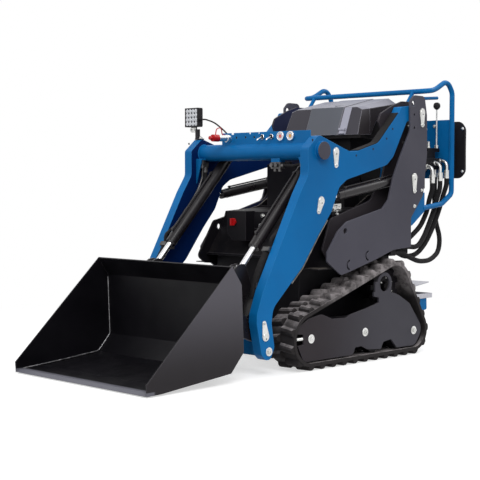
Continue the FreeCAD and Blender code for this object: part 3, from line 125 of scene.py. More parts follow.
# ------------------------------------------------------------------- shader helpers
class Shader:
    """A material's node tree with short calls for the nodes used here."""

    def __init__(self, name):
        self.material = bpy.data.materials.new(name)
        self.material.use_nodes = True
        self.tree = self.material.node_tree
        self.surface = self.tree.nodes["Principled BSDF"]
        self.object_space = self.tree.nodes.new("ShaderNodeTexCoord").outputs["Object"]

    def node(self, kind, **values):
        node = self.tree.nodes.new(kind)
        for key, value in values.items():
            setattr(node, key, value)
        return node

    def link(self, output, target):
        self.tree.links.new(output, target)

    def put(self, **values):
        """Set constants on the Principled sockets; an underscore stands for a space."""
        for key, value in values.items():
            self.surface.inputs[key.replace("_", " ")].default_value = value

    def noise(self, scale, detail=4.0, roughness=0.5, stretch=None):
        texture = self.node("ShaderNodeTexNoise")
        texture.inputs["Scale"].default_value = scale
        texture.inputs["Detail"].default_value = detail
        texture.inputs["Roughness"].default_value = roughness
        place = self.object_space
        if stretch:
            mapping = self.node("ShaderNodeMapping")
            mapping.inputs["Scale"].default_value = stretch
            self.link(place, mapping.inputs["Vector"])
            place = mapping.outputs["Vector"]
        self.link(place, texture.inputs["Vector"])
        return texture.outputs["Fac"]

    def remap(self, value, low, high, to_low=0.0, to_high=1.0):
        """Carry a range over to another one, smoothly; low may be the larger end."""
        node = self.node("ShaderNodeMapRange", interpolation_type="SMOOTHSTEP")
        self.link(value, node.inputs["Value"])
        for name, number in zip(("From Min", "From Max", "To Min", "To Max"),
                                (low, high, to_low, to_high)):
            node.inputs[name].default_value = number
        return node.outputs["Result"]

    def cloud(self, scale, detail=4.0, roughness=0.5, spread=0.2, to=(0.0, 1.0)):
        """Noise whose middle values, as wide as a spread each way, fill a range."""
        texture = self.noise(scale, detail, roughness)
        return self.remap(texture, 0.5 - spread, 0.5 + spread, *to)

    def mix(self, factor, first, second):
        """Blend two colours; each is a tuple or an output."""
        node = self.node("ShaderNodeMix", data_type="RGBA")
        self.link(factor, node.inputs[0])
        for index, value in ((6, first), (7, second)):
            if isinstance(value, tuple):
                node.inputs[index].default_value = value
            else:
                self.link(value, node.inputs[index])
        return node.outputs[2]

    def multiply(self, first, second):
        """Product of an output and a number or another output."""
        node = self.node("ShaderNodeMath", operation="MULTIPLY")
        self.link(first, node.inputs[0])
        if isinstance(second, float):
            node.inputs[1].default_value = second
        else:
            self.link(second, node.inputs[1])
        return node.outputs[0]

    def larger(self, first, second):
        node = self.node("ShaderNodeMath", operation="MAXIMUM")
        self.link(first, node.inputs[0])
        self.link(second, node.inputs[1])
        return node.outputs[0]

    def along(self, axis):
        """Place along an axis of the machine."""
        split = self.node("ShaderNodeSeparateXYZ")
        self.link(self.object_space, split.inputs[0])
        return split.outputs[axis]

    def off_centre(self):
        """Distance from the machine's middle plane."""
        node = self.node("ShaderNodeMath", operation="ABSOLUTE")
        self.link(self.along("Y"), node.inputs[0])
        return node.outputs[0]

    def facing(self, axis):
        """How far a surface faces along an axis, from -1 to 1."""
        split = self.node("ShaderNodeSeparateXYZ")
        self.link(self.node("ShaderNodeNewGeometry").outputs["Normal"], split.inputs[0])
        return split.outputs[axis]

    def bump(self, height, distance, strength, onto=None):
        node = self.node("ShaderNodeBump")
        node.inputs["Distance"].default_value = distance
        node.inputs["Strength"].default_value = strength
        self.link(height, node.inputs["Height"])
        if onto is not None:
            self.link(onto, node.inputs["Normal"])
        self.link(node.outputs["Normal"], self.surface.inputs["Normal"])

    def rounded(self, radius):
        """Normals that round off sharp edges."""
        node = self.node("ShaderNodeBevel", samples=4)
        node.inputs["Radius"].default_value = radius
        return node.outputs["Normal"]

    def edges(self, radius):
        """1 on sharp edges, 0 on flat faces."""
        inner = self.node("ShaderNodeVectorMath", operation="DOT_PRODUCT")
        self.link(self.rounded(radius), inner.inputs[0])
        self.link(self.node("ShaderNodeNewGeometry").outputs["Normal"], inner.inputs[1])
        return self.remap(inner.outputs["Value"], 0.995, 0.93)

    def colour(self, output):
        self.link(output, self.surface.inputs["Base Color"])

    def roughness(self, output):
        self.link(output, self.surface.inputs["Roughness"])


def rgba(red, green, blue):
    """Colour from 0-255 display values, as the linear tuple that shaders take."""
    def linear(value):
        value /= 255.0
        return value / 12.92 if value <= 0.04045 else ((value + 0.055) / 1.055) ** 2.4
    return (linear(red), linear(green), linear(blue), 1.0)


# -------------------------------------------------------------------------- colours
BLUE = (rgba(9, 110, 176), rgba(7, 102, 165))           # a paint's colour and deep shade
# Lighter colour for a painted highlight on sharp edges
BLUE_EDGE_HIGHLIGHT = rgba(40, 130, 196)
# Painted shade laid on faces that look inward, toward the machine's middle
PAINTED_SHADE_NAVY = rgba(2, 32, 84)
BLACK = (rgba(24, 22, 26), rgba(18, 17, 21))
# Lighter colour for a painted highlight on the black paint's sharp edges
BLACK_EDGE_HIGHLIGHT = rgba(60, 58, 62)
DUST = rgba(150, 142, 132)
DIAL_SHADE = 0.85                                       # a dial's deep shade, of its colour


# ------------------------------------------------------------------------ materials
def powder_coat(name, base, deep, rough, shine=0.12, peel=0.00025, dust=0.0, edge=None,
                fade=None, inner=None):
    """Painted steel: slight shade drift, fine orange peel, worn edges and lying dust.

    fade is (axis, from, to, colour) for a shade that comes in along the machine, and
    inner is (half width, colour) for painted shade on the faces that look inward.
    """
    shader = Shader(name)
    shader.put(Metallic=0.0, IOR=1.5, Specular_IOR_Level=shine)
    tone = shader.mix(shader.cloud(2.2, 3.0, spread=0.15), deep, base)
    if fade:
        axis, start, end, other = fade
        tone = shader.mix(shader.remap(shader.along(axis), start, end), tone, other)
    if inner:
        # Painted shade on faces nearer the middle plane than the half width
        limit, other = inner
        tone = shader.mix(shader.remap(shader.off_centre(), limit, limit - 0.001), tone, other)
    # Painted highlight: a lighter colour on sharp edges
    if edge:
        tone = shader.mix(shader.edges(0.004), tone, edge)
    if dust:
        settled = shader.remap(shader.facing("Z"), 0.35, 1.0, 0.0, dust)
        patches = shader.remap(shader.noise(14.0, 6.0, 0.65), 0.38, 0.68)
        tone = shader.mix(shader.multiply(settled, patches), tone, DUST)
    shader.colour(tone)
    shader.roughness(shader.cloud(9.0, 5.0, to=(rough - 0.06, rough + 0.08)))
    shader.bump(shader.noise(420.0, 2.0), peel, 0.5, onto=shader.rounded(0.0025))
    return shader.material


def metal(name, base, deep, rough, spots=0.2):
    """Plated or bare metal with a cloudy tone; both colours are linear."""
    shader = Shader(name)
    shader.put(Metallic=1.0)
    shader.colour(shader.mix(shader.cloud(30.0, 5.0, 0.6), deep, base))
    shader.roughness(shader.cloud(60.0, to=(rough, rough + spots)))
    shader.bump(shader.noise(500.0, 2.0), 0.0001, 0.4, onto=shader.rounded(0.0015))
    return shader.material


def rubber(name, base, dusty, scale, dust, lift=0.0016, rise=None):
    """Matt rubber with dust caught on its upper faces, rough spots and above a rise."""
    shader = Shader(name)
    shader.put(Metallic=0.0, IOR=1.45, Specular_IOR_Level=0.25)
    grime = shader.remap(shader.noise(scale, 8.0, 0.7), 0.36, 0.62, 0.25, 1.0)
    lying = shader.remap(shader.facing("Z"), 0.2, 1.0, 0.04, 0.9)
    if rise:
        lying = shader.larger(lying, shader.remap(shader.along("Z"), *rise, 0.0, 0.8))
    amount = shader.multiply(shader.multiply(grime, lying), dust)
    shader.colour(shader.mix(amount, base, dusty))
    shader.roughness(shader.remap(grime, 0.0, 1.0, 0.62, 0.9))
    shader.bump(shader.noise(scale * 6.0, 6.0, 0.7), lift, 0.6, onto=shader.rounded(0.004))
    return shader.material


def moulded(name, base, deep, rough, grain=0.0002, shine=0.35):
    """Moulded plastic with a fine leather-like grain."""
    shader = Shader(name)
    shader.put(Metallic=0.0, IOR=1.46, Specular_IOR_Level=shine)
    shader.colour(shader.mix(shader.cloud(5.0, 3.0), deep, base))
    shader.roughness(shader.cloud(40.0, to=(rough, rough + 0.1)))
    shader.bump(shader.noise(700.0, 3.0), grain, 0.5, onto=shader.rounded(0.002))
    return shader.material


def hood_skin(name):
    """Dark moulded hood with a lighter grey raised middle band, painted light on its top, painted shade on its
    left flank and painted highlights on its edges.
    """
    shader = Shader(name)
    shader.put(Metallic=0.0, IOR=1.5, Specular_IOR_Level=0.15)
    across = shader.along("Y")
    band = shader.multiply(shader.remap(across, *HOOD_BAND_RIGHT),
                           shader.remap(across, *HOOD_BAND_LEFT))
    tone = shader.mix(band, rgba(70, 68, 75), rgba(99, 102, 110))
    # Painted shade: faces that look to the left are darker
    shaded_flank = shader.remap(shader.facing("Y"), 0.55, 0.9)
    tone = shader.mix(shaded_flank, tone, rgba(44, 40, 43))
    # Painted light: faces that look up are lighter
    top = shader.remap(shader.facing("Z"), 0.72, 0.9)
    tone = shader.mix(top, tone, rgba(146, 146, 158))
    drift = shader.multiply(shader.cloud(3.0, 3.0), 0.12)
    tone = shader.mix(drift, tone, rgba(40, 38, 42))
    # Painted highlight on the sharp edges
    edge_highlight = shader.multiply(shader.edges(0.006), 0.75)
    shader.colour(shader.mix(edge_highlight, tone, rgba(168, 167, 176)))
    shader.roughness(shader.cloud(30.0, to=(0.36, 0.46)))
    shader.bump(shader.noise(240.0, 2.0), 0.00005, 0.3, onto=shader.rounded(0.006))
    return shader.material


def bucket_skin(name):
    """Black powder coat with painted light on its outer sides that grows toward their top, bare scuffs low down at
    the lip, and painted highlights along the lip and on the edges.
    """
    shader = Shader(name)
    shader.put(Metallic=0.0, IOR=1.5, Specular_IOR_Level=0.14)
    inside = shader.mix(shader.cloud(2.5, 3.0, spread=0.15), rgba(11, 10, 14), rgba(17, 16, 20))
    # Painted light: the outer sides are a lighter copy of the black inside, lighter still toward their top
    rise = shader.remap(shader.along("Z"), *BUCKET_RISE)
    outside = shader.mix(rise, rgba(40, 37, 40), rgba(92, 90, 97))
    tone = shader.mix(shader.remap(shader.off_centre(), *BUCKET_SIDES), inside, outside)
    streaks = shader.noise(6.0, 9.0, 0.75, stretch=(0.4, 5.0, 1.0))
    scuffs = shader.remap(streaks, 0.56, 0.75, 0.0, 0.4)
    low = shader.remap(shader.along("Z"), *BUCKET_SCUFFS)
    tone = shader.mix(shader.multiply(scuffs, low), tone, rgba(78, 76, 82))
    # Painted highlight along the top edge of the lip
    ahead = shader.remap(shader.along("X"), *LIP_AHEAD)
    lip = shader.multiply(ahead, shader.remap(shader.along("Z"), *LIP_TOP))
    tone = shader.mix(shader.multiply(lip, 0.75), tone, rgba(118, 118, 128))
    # Painted highlight on the sharp edges
    edge_highlight = shader.multiply(shader.edges(0.003), 0.6)
    shader.colour(shader.mix(edge_highlight, tone, rgba(104, 102, 108)))
    shader.roughness(shader.cloud(9.0, 5.0, to=(0.34, 0.46)))
    shader.bump(shader.noise(420.0, 2.0), 0.0001, 0.3, onto=shader.rounded(0.003))
    return shader.material


def clear_glass(name):
    shader = Shader(name)
    shader.put(Transmission_Weight=0.85, IOR=1.45, Roughness=0.06)
    shader.colour(shader.mix(shader.cloud(60.0), (0.86, 0.88, 0.9, 1.0), (0.95, 0.96, 0.97, 1.0)))
    return shader.material


def led_lens(name):
    """Pale ribbed lens over a diode."""
    shader = Shader(name)
    shader.put(IOR=1.5, Roughness=0.18, Specular_IOR_Level=0.6, Coat_Weight=0.5)
    cells = shader.cloud(420.0, 2.0, spread=0.15)
    shader.colour(shader.mix(cells, rgba(176, 180, 188), rgba(238, 240, 244)))
    shader.bump(shader.noise(260.0, 1.0), 0.0004, 0.5)
    return shader.material


def dial_print(name, colour):
    """Printed card behind a gauge's glass."""
    deep = tuple(DIAL_SHADE * value for value in colour[:3]) + (1.0,)
    return moulded(name, colour, deep, 0.35)


# Each edge colour below is a painted highlight on sharp edges
FINISHES = {
    "blue_paint": powder_coat("blue_paint", *BLUE, 0.4, edge=BLUE_EDGE_HIGHLIGHT),
    "dark_grey_paint": powder_coat("dark_grey_paint", rgba(82, 81, 91), rgba(75, 74, 84), 0.5,
                                   edge=rgba(104, 103, 112)),
    "black_paint": powder_coat("black_paint", *BLACK, 0.46, dust=0.08, edge=BLACK_EDGE_HIGHLIGHT),
    "track_rubber": rubber("track_rubber", rgba(31, 28, 29), rgba(158, 152, 153), 18.0, 1.0,
                           rise=TRACK_DUST),
    "hose_rubber": rubber("hose_rubber", rgba(27, 26, 28), rgba(70, 67, 66), 60.0, 0.25, 0.0006),
    "grey_rubber": rubber("grey_rubber", rgba(172, 172, 186), rgba(184, 183, 194), 60.0, 0.4,
                          0.0003),
    "pad_foam": moulded("pad_foam", rgba(44, 40, 46), rgba(36, 32, 37), 0.62, 0.0004, 0.2),
    "black_plastic": moulded("black_plastic", rgba(36, 34, 37), rgba(29, 27, 30), 0.45,
                             shine=0.25),
    "hood_plastic": hood_skin("hood_plastic"),
    "zinc_steel": metal("zinc_steel", (0.80, 0.80, 0.79, 1), (0.62, 0.62, 0.6, 1), 0.26),
    "chrome": metal("chrome", (0.86, 0.86, 0.87, 1), (0.78, 0.78, 0.8, 1), 0.06, spots=0.05),
    "galvanised": metal("galvanised", (0.56, 0.56, 0.60, 1), (0.44, 0.44, 0.48, 1), 0.5),
    "engine_cast": powder_coat("engine_cast", rgba(28, 26, 27), rgba(18, 17, 18), 0.6,
                               peel=0.0006, edge=rgba(52, 50, 50)),
    "red_plastic": moulded("red_plastic", rgba(205, 24, 28), rgba(178, 16, 22), 0.3),
    "lamp_glass": clear_glass("lamp_glass"),
}
BUCKET_PAINT = bucket_skin("bucket_paint")
COVER_PAINT = powder_coat("cover_paint", rgba(48, 43, 47), rgba(43, 39, 43), 0.46, dust=0.1,
                          edge=rgba(80, 77, 83), fade=("X", *COVER_FADE, rgba(68, 67, 74)))
# The arms' inward faces get painted shade in navy
ARM_PAINT = powder_coat("arm_paint", *BLUE, 0.4, edge=BLUE_EDGE_HIGHLIGHT, inner=(ARM_IN + 0.001, PAINTED_SHADE_NAVY))
# The inner tower plates' faces toward the middle get painted shade in navy
INNER_PAINT = powder_coat("inner_paint", rgba(56, 52, 57), rgba(50, 46, 50), 0.46,
                          edge=rgba(96, 92, 98), inner=(0.4275, PAINTED_SHADE_NAVY))
BARREL_PAINT = powder_coat("barrel_paint", rgba(32, 28, 31), rgba(24, 21, 24), 0.3, 0.35,
                           edge=rgba(60, 58, 60))
FENDER_PAINT = powder_coat("fender_paint", *BLACK, 0.46, dust=0.7, edge=BLACK_EDGE_HIGHLIGHT)
DULL_STEEL = metal("dull_steel", (0.17, 0.165, 0.165, 1), (0.06, 0.06, 0.062, 1), 0.42)
PIPE_STEEL = metal("pipe_steel", (0.30, 0.28, 0.26, 1), (0.12, 0.11, 0.10, 1), 0.4)
WELD = metal("weld_bead", (0.52, 0.51, 0.53, 1), (0.20, 0.20, 0.21, 1), 0.35)
LENS = led_lens("led_lens")
LAMP_BOARD = moulded("lamp_board", rgba(96, 97, 102), rgba(76, 77, 82), 0.4)
DIAL_WHITE = dial_print("dial_white", rgba(225, 226, 230))
DIAL_RED = dial_print("dial_red", rgba(226, 110, 104))
DIAL_AMBER = dial_print("dial_amber", rgba(236, 170, 92))

# Nodes whose finish is more particular than their slot's
OWN_FINISH = {
    "arm_fittings": DULL_STEEL,
    "bucket": BUCKET_PAINT,
    "attach_frame": BARREL_PAINT,
}
for form, finish in (("lift_arm", ARM_PAINT), ("tower_inner", INNER_PAINT),
                     ("side_plate", FENDER_PAINT), ("track_frame", COVER_PAINT),
                     ("lift_barrel", BARREL_PAINT), ("tilt_barrel", BARREL_PAINT)):
    OWN_FINISH[form + "_left"] = finish
    OWN_FINISH[form + "_right"] = finish


def dress_nodes():
    """Give every CAD node its finish."""
    for part in frame["record"]["subparts"]:
        chosen = OWN_FINISH.get(part["node"], FINISHES[part["material_slot"]])
        for holder in NODES[part["node"]].material_slots:
            holder.material = chosen


# --------------------------------------------------------------------- mesh helpers
def lathe(mesh, place, axis, profile, segments=24, turn=0.0):
    """Add a turned form: (radius, height) pairs from a place along an axis."""
    place = Vector(place)
    axis = Vector(axis).normalized()
    side = axis.orthogonal().normalized()
    rings = []
    for radius, height in profile:
        centre = place + axis * height
        if radius == 0.0:
            rings.append([mesh.verts.new(centre)])
            continue
        ring = []
        for index in range(segments):
            spin = Matrix.Rotation(turn + 2 * math.pi * index / segments, 3, axis)
            ring.append(mesh.verts.new(centre + spin @ side * radius))
        rings.append(ring)
    for low, high in zip(rings, rings[1:]):
        for index in range(segments):
            following = (index + 1) % segments
            corners = [low[index % len(low)], low[following % len(low)],
                       high[following % len(high)], high[index % len(high)]]
            unique = list(dict.fromkeys(corners))
            if len(unique) > 2:
                mesh.faces.new(unique)


def disc(radius, thick):
    """Profile of a flat disc."""
    return [(radius, 0.0), (radius, thick), (0.0, thick)]


BOLT_TURN = 0.3                 # turns every hexagon a little away from upright


def bolt(mesh, place, axis, size, washer):
    """Hexagon head of a half width on a bevelled washer, with the thread's end showing.

    washer is the washer's radius, as a multiple of the head's half width.
    """
    thick = size * 0.28
    lathe(mesh, place, axis, [(size * washer, 0.0), (size * washer, thick * 0.7),
                              (size * (washer - 0.08), thick), (0.0, thick)], 28)
    place = Vector(place) + Vector(axis).normalized() * thick
    head = size * 0.85
    lathe(mesh, place, axis, [(size * 1.12, 0.0), (size * 1.12, head * 0.82),
                              (size * 0.96, head), (size * 0.55, head),
                              (size * 0.55, head * 1.35), (size * 0.45, head * 1.5),
                              (0.0, head * 1.5)], 6, BOLT_TURN)


def lathe_on_side(mesh, side, face, spot, profile, segments=24):
    """Add a turned form that points outward from a side's face, at an (x, z) spot."""
    x, z = spot
    lathe(mesh, (x, side * face, z), (0.0, side, 0.0), profile, segments)


def bolt_on_side(mesh, side, face, spot, size, washer):
    """Add a bolt that points outward from a side's face, at an (x, z) spot."""
    x, z = spot
    bolt(mesh, (x, side * face, z), (0.0, side, 0.0), size, washer)


def slab_mesh(mesh, outline, start, depth):
    """Add an extruded outline: 3-D points of one face, pushed along a depth vector."""
    low = [mesh.verts.new(Vector(start) + Vector(point)) for point in outline]
    high = [mesh.verts.new(vertex.co + Vector(depth)) for vertex in low]
    mesh.faces.new(low[::-1])
    mesh.faces.new(high)
    for index in range(len(low)):
        following = (index + 1) % len(low)
        mesh.faces.new([low[index], low[following], high[following], high[index]])


def add_object(name, data):
    """Put an object with some data into the scene."""
    thing = bpy.data.objects.new(name, data)
    bpy.context.scene.collection.objects.link(thing)
    return thing


def piece(name, mesh, body, slot, material=None, sharp=40.0, bevel=0.0):
    """Turn a bmesh into a smooth-shaded object that rides on a body."""
    bmesh.ops.recalc_face_normals(mesh, faces=mesh.faces)
    data = bpy.data.meshes.new(name)
    mesh.to_mesh(data)
    mesh.free()
    data.shade_smooth()
    data.set_sharp_from_angle(angle=math.radians(sharp))
    data.materials.append(material or FINISHES[slot])
    thing = add_object(name, data)
    if bevel:
        modifier = thing.modifiers.new("bevel", "BEVEL")
        modifier.width = bevel
        modifier.segments = 2
        modifier.limit_method = "ANGLE"
        modifier.angle_limit = math.radians(50)
    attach(thing, body)
    return thing


def bead(name, points, radius, body, slot, material=None, closed=False):
    """Thin round tube along points: a weld bead or a small pipe."""
    data = bpy.data.curves.new(name, "CURVE")
    data.dimensions = "3D"
    data.bevel_depth = radius
    data.bevel_resolution = 2
    line = data.splines.new("POLY")
    line.points.add(len(points) - 1)
    for target, point in zip(line.points, points):
        target.co = (*point, 1.0)
    line.use_cyclic_u = closed
    data.materials.append(material or FINISHES[slot])
    thing = add_object(name, data)
    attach(thing, body)


def bead_pair(name, points, *form, **options):
    """The same bead on the left and, mirrored, on the right."""
    bead(name + "_left", points, *form, **options)
    mirrored = [(x, -y, z) for x, y, z in points]
    bead(name + "_right", mirrored, *form, **options)


def apply_modifiers(thing):
    """Replace an object's mesh by what its modifiers make of it."""
    shaped = thing.evaluated_get(bpy.context.evaluated_depsgraph_get())
    mesh = bpy.data.meshes.new_from_object(shaped)
    thing.modifiers.clear()
    thing.data = mesh


# ------------------------------------------------------------------- bolts and pins
# Half width of a bolt's head, and its washer's radius as a multiple of that
AXLE_BOLT = (0.0125, 2.0)
FOOT_BOLT = (0.012, 2.0)
SMALL_BOLT = (0.0075, 1.5)
LOW_BOLT = (0.006, 1.5)
FRONT_BOLT = (0.009, 1.6)
HUB_BOLT = (0.0045, 1.2)

BOLT_SHADOW_R = 0.0112               # dark ring under a keeper's bolt, as painted shadow
PIN_HEAD = [(0.0205, 0.0), (0.0205, 0.002), (0.019, 0.0035), (0.0, 0.0035)]
MARK_THICK = 0.0007             # of the dark rings of painted shadow and the grease points
GREASE_R = 0.0042
GREASE_DROP = 0.012             # from a pin's middle down to its grease point
GREASE_OUT = 0.0034             # how far the grease point stands off the pin's keeper

AXLE_BOLTS = ((0.145, 0.176), (-0.322, 0.173), (-0.784, 0.144))
TOWER_KEEPER_BOLTS = ((-0.880, 1.385), (-0.805, 0.985))
TOWER_LOW_BOLT = (-0.880, 0.990)
TOWER_FOOT_BOLT = (-0.809, 0.894)
TOWER_PLUGS = (((-0.850, 1.380), 0.0065), ((-0.807, 1.277), 0.0095))    # spot, radius
SIDE_PLATE_BOLTS = ((-0.640, 0.905), (-0.483, 0.905), (-0.411, 0.851), (-0.262, 0.828))
ARM_KEEPER_BOLTS = ((-0.099, 1.133), (0.048, 0.876), (0.484, 0.287))
ARM_FOOT_BOLT = (0.444, 0.131)
FRONT_PANEL_BOLTS = ((-0.07212, 0.780), (-0.09184, 0.838))
FRONT_BOLT_LEAN = (0.8, 0.0, 0.6)
REAR_PANEL_BOLTS = ((0.300, 1.120, 0.008), (0.300, 1.375, 0.008), (0.370, 1.392, 0.0075))
REAR_WASHER = 1.6
HUB_BOLT_COUNT = 6
HUB_BOLT_CIRCLE = 0.055
HUB_CAP = [(0.030, 0.0), (0.030, 0.003), (0.022, 0.006), (0.010, 0.0065), (0.0, 0.0065)]
THREAD_START = (0.2125, 0.533, 0.181)
THREAD_TURNS = 16
THREAD_PITCH = 0.003
THREAD_SHANK = 0.0088           # radii of the plain start, the crests and the grooves
THREAD_CREST = 0.0095
THREAD_GROOVE = 0.0083
THREAD_END = 0.0502


def keep_pins(bolts, marks, side, face, bolt_spots, pin_spots):
    """Bolts of the pins' keepers over dark rings of painted shadow, and pin heads with grease points."""
    for spot in bolt_spots:
        # Painted shadow: a dark ring under each keeper's bolt
        lathe_on_side(marks, side, face, spot, disc(BOLT_SHADOW_R, MARK_THICK), 20)
        bolt_on_side(bolts, side, face, spot, *SMALL_BOLT)
    for x, z in pin_spots:
        lathe_on_side(bolts, side, face, (x, z), PIN_HEAD, 28)
        lathe_on_side(marks, side, face + GREASE_OUT, (x, z - GREASE_DROP),
                      disc(GREASE_R, MARK_THICK), 20)


def add_side_bolts(bolts, side):
    """One side's bolts on the track frame's cover, the tower and the body."""
    for spot in AXLE_BOLTS:
        bolt_on_side(bolts, side, COVER_OUT, spot, *AXLE_BOLT)
    bolt_on_side(bolts, side, TOWER_OUT, TOWER_LOW_BOLT, *LOW_BOLT)
    bolt_on_side(bolts, side, TOWER_OUT, TOWER_FOOT_BOLT, *SMALL_BOLT)
    for spot, radius in TOWER_PLUGS:
        lathe_on_side(bolts, side, TOWER_INNER_OUT, spot,
                      [(radius, 0.0), (radius, 0.0012), (radius * 0.7, 0.0022), (0.0, 0.0024)])
    for spot in SIDE_PLATE_BOLTS:
        bolt_on_side(bolts, side, SIDE_OUT, spot, *SMALL_BOLT)


def add_panel_bolts(bolts):
    """Bolts on the leaning front panel, above its knee, and on the rear panel."""
    for x, z in FRONT_PANEL_BOLTS:
        bolt(bolts, (x, -0.060, z), FRONT_BOLT_LEAN, *FRONT_BOLT)
    for y, z, size in REAR_PANEL_BOLTS:
        for side in SIDES:
            bolt(bolts, (REAR_PANEL_FACE, side * y, z), AHEAD, size, REAR_WASHER)


def add_hub_bolts(bolts, side):
    """Ring of bolts on a drive sprocket."""
    for index in range(HUB_BOLT_COUNT):
        angle = 2 * math.pi * (index + 0.5) / HUB_BOLT_COUNT
        spot = (SPROCKET[0] + HUB_BOLT_CIRCLE * math.cos(angle),
                SPROCKET[1] + HUB_BOLT_CIRCLE * math.sin(angle))
        bolt_on_side(bolts, side, SPROCKET_OUT, spot, *HUB_BOLT)


def add_tension_thread(bolts, side):
    """Threaded end of a track tensioner's screw."""
    profile = [(THREAD_SHANK, 0.0), (THREAD_SHANK, 0.002)]
    for turn in range(THREAD_TURNS):
        start = turn * THREAD_PITCH
        profile += [(THREAD_CREST, start + 0.0025), (THREAD_GROOVE, start + 0.0040)]
    profile.append((0.0, THREAD_END))
    x, y, z = THREAD_START
    lathe(bolts, (x, side * y, z), AHEAD, profile, 20)


def make_bolts():
    """Zinc bolts and pin heads, with dark rings of painted shadow under the keepers' bolts, grease points and the
    hubs' caps.
    """
    chassis = bmesh.new()
    tracks = bmesh.new()
    caps = bmesh.new()
    arms = bmesh.new()
    marks = {"chassis": bmesh.new(), "lift_arms": bmesh.new()}
    for side in SIDES:
        add_side_bolts(chassis, side)
        keep_pins(chassis, marks["chassis"], side, TOWER_PIN_OUT, TOWER_KEEPER_BOLTS,
                  (ARM_PIVOT, LIFT_BASE))
        add_hub_bolts(tracks, side)
        add_tension_thread(tracks, side)
        lathe_on_side(caps, side, HUB_OUT, SPROCKET, HUB_CAP, 32)
        keep_pins(arms, marks["lift_arms"], side, ARM_PIN_OUT, ARM_KEEPER_BOLTS,
                  (TILT_BASE, LIFT_EYE, ATTACH_PIVOT))
        bolt_on_side(arms, side, ARM_OUT, ARM_FOOT_BOLT, *FOOT_BOLT)
    add_panel_bolts(chassis)
    piece("bolts_chassis", chassis, "chassis", "zinc_steel")
    for body, rings in marks.items():
        # Dark rings of painted shadow and the grease points, in dull steel
        piece("bolt_shadows_and_grease_points_" + body, rings, body, "zinc_steel", DULL_STEEL)
    piece("hub_caps", caps, "chassis", "black_paint", FINISHES["engine_cast"])
    piece("bolts_tracks", tracks, "chassis", "zinc_steel")
    piece("bolts_arms", arms, "lift_arms", "zinc_steel")


# ----------------------------------------------------------------- on the lift arms
ARM_PLUGS = ((0.098, 1.272), (-0.279, 1.192), (-0.433, 1.232), (-0.558, 1.295), (-0.615, 1.354))
ARM_PLUG = [(0.0062, 0.0), (0.0062, 0.0012), (0.0052, 0.0016), (0.0, 0.0004)]
GROMMET_YS = (-0.142, -0.065, 0.007)
GROMMET_BACK = 0.0440           # the grommets' rear ends, inside the panel
GROMMET = [(0.0066, 0.0), (0.0066, 0.0045), (0.0040, 0.0045), (0.0038, 0.0030), (0.0, 0.0030)]
STRIP_BOTTOM = 0.0003           # above the arm's edge
STRIP_TOP = 0.0045
# Corners of the strip as (x, z), each with the direction that leads off the arm's edge
STRIP_RUN = (((-0.300, 1.2202), (0.255, 0.967)), ((-0.4588, 1.2621), (0.255, 0.967)),
             ((-0.4796, 1.2705), (0.487, 0.873)), ((-0.4977, 1.2838), (0.689, 0.725)),
             ((-0.672, 1.4495), (0.689, 0.725)))
PIPE_R = 0.0045
PIPE_Y = 0.490
PIPE_RUN = ((-0.030, 0.834), (-0.0428, 0.8228), (0.0245, 0.7456), (0.1645, 0.5635),
            (0.2486, 0.4872), (0.260, 0.4998))


def make_arm_plugs():
    """Dark plugs in the arms' small threaded holes."""
    plugs = bmesh.new()
    for side in SIDES:
        for spot in ARM_PLUGS:
            lathe_on_side(plugs, side, ARM_OUT - SKIM, spot, ARM_PLUG, 16)
    piece("arm_plugs", plugs, "lift_arms", "black_plastic")


def make_panel_plugs():
    """Dark grommets in the coupler panel's holes."""
    grommets = bmesh.new()
    for y in GROMMET_YS:
        lathe(grommets, (GROMMET_BACK, y, GAUGE_Z), AHEAD, GROMMET, 20)
    piece("panel_grommets", grommets, "lift_arms", "black_plastic")


def make_arm_strip():
    """Black rubber strip along the rear of the left arm's top edge."""
    def lifted(corner, amount):
        (x, z), (off_x, off_z) = corner
        return (x + off_x * amount, 0.0, z + off_z * amount)

    strip = bmesh.new()
    for first, second in zip(STRIP_RUN, STRIP_RUN[1:]):
        outline = [lifted(first, STRIP_BOTTOM), lifted(second, STRIP_BOTTOM),
                   lifted(second, STRIP_TOP), lifted(first, STRIP_TOP)]
        slab_mesh(strip, outline, (0, ARM_IN + 0.002, 0), (0, ARM_OUT - ARM_IN - 0.005, 0))
    piece("arm_strip", strip, "lift_arms", "hose_rubber")


def make_arm_pipes():
    """Thin steel pipe clipped under each arm's rear edge."""
    run = [(x, PIPE_Y, z) for x, z in PIPE_RUN]
    bead_pair("arm_pipe", run, PIPE_R, "lift_arms", "zinc_steel", material=PIPE_STEEL)


# -------------------------------------------------------------------- hose junction
JUNCTION_IN = 0.388             # its faces in Y
JUNCTION_OUT = 0.418
JUNCTION = ((-0.268, 0.822), (-0.172, 0.815), (-0.172, 0.866), (-0.268, 0.872))
JUNCTION_PORTS = ((-0.207, 0.856, 0.0075), (-0.205, 0.834, 0.0065), (-0.243, 0.848, 0.0070))
TOP_PORT = (-0.226, 0.403, 0.869)
TOP_FITTING = [(0.008, 0.0), (0.008, 0.006), (0.011, 0.006), (0.011, 0.014), (0.007, 0.017),
               (0.0, 0.017)]


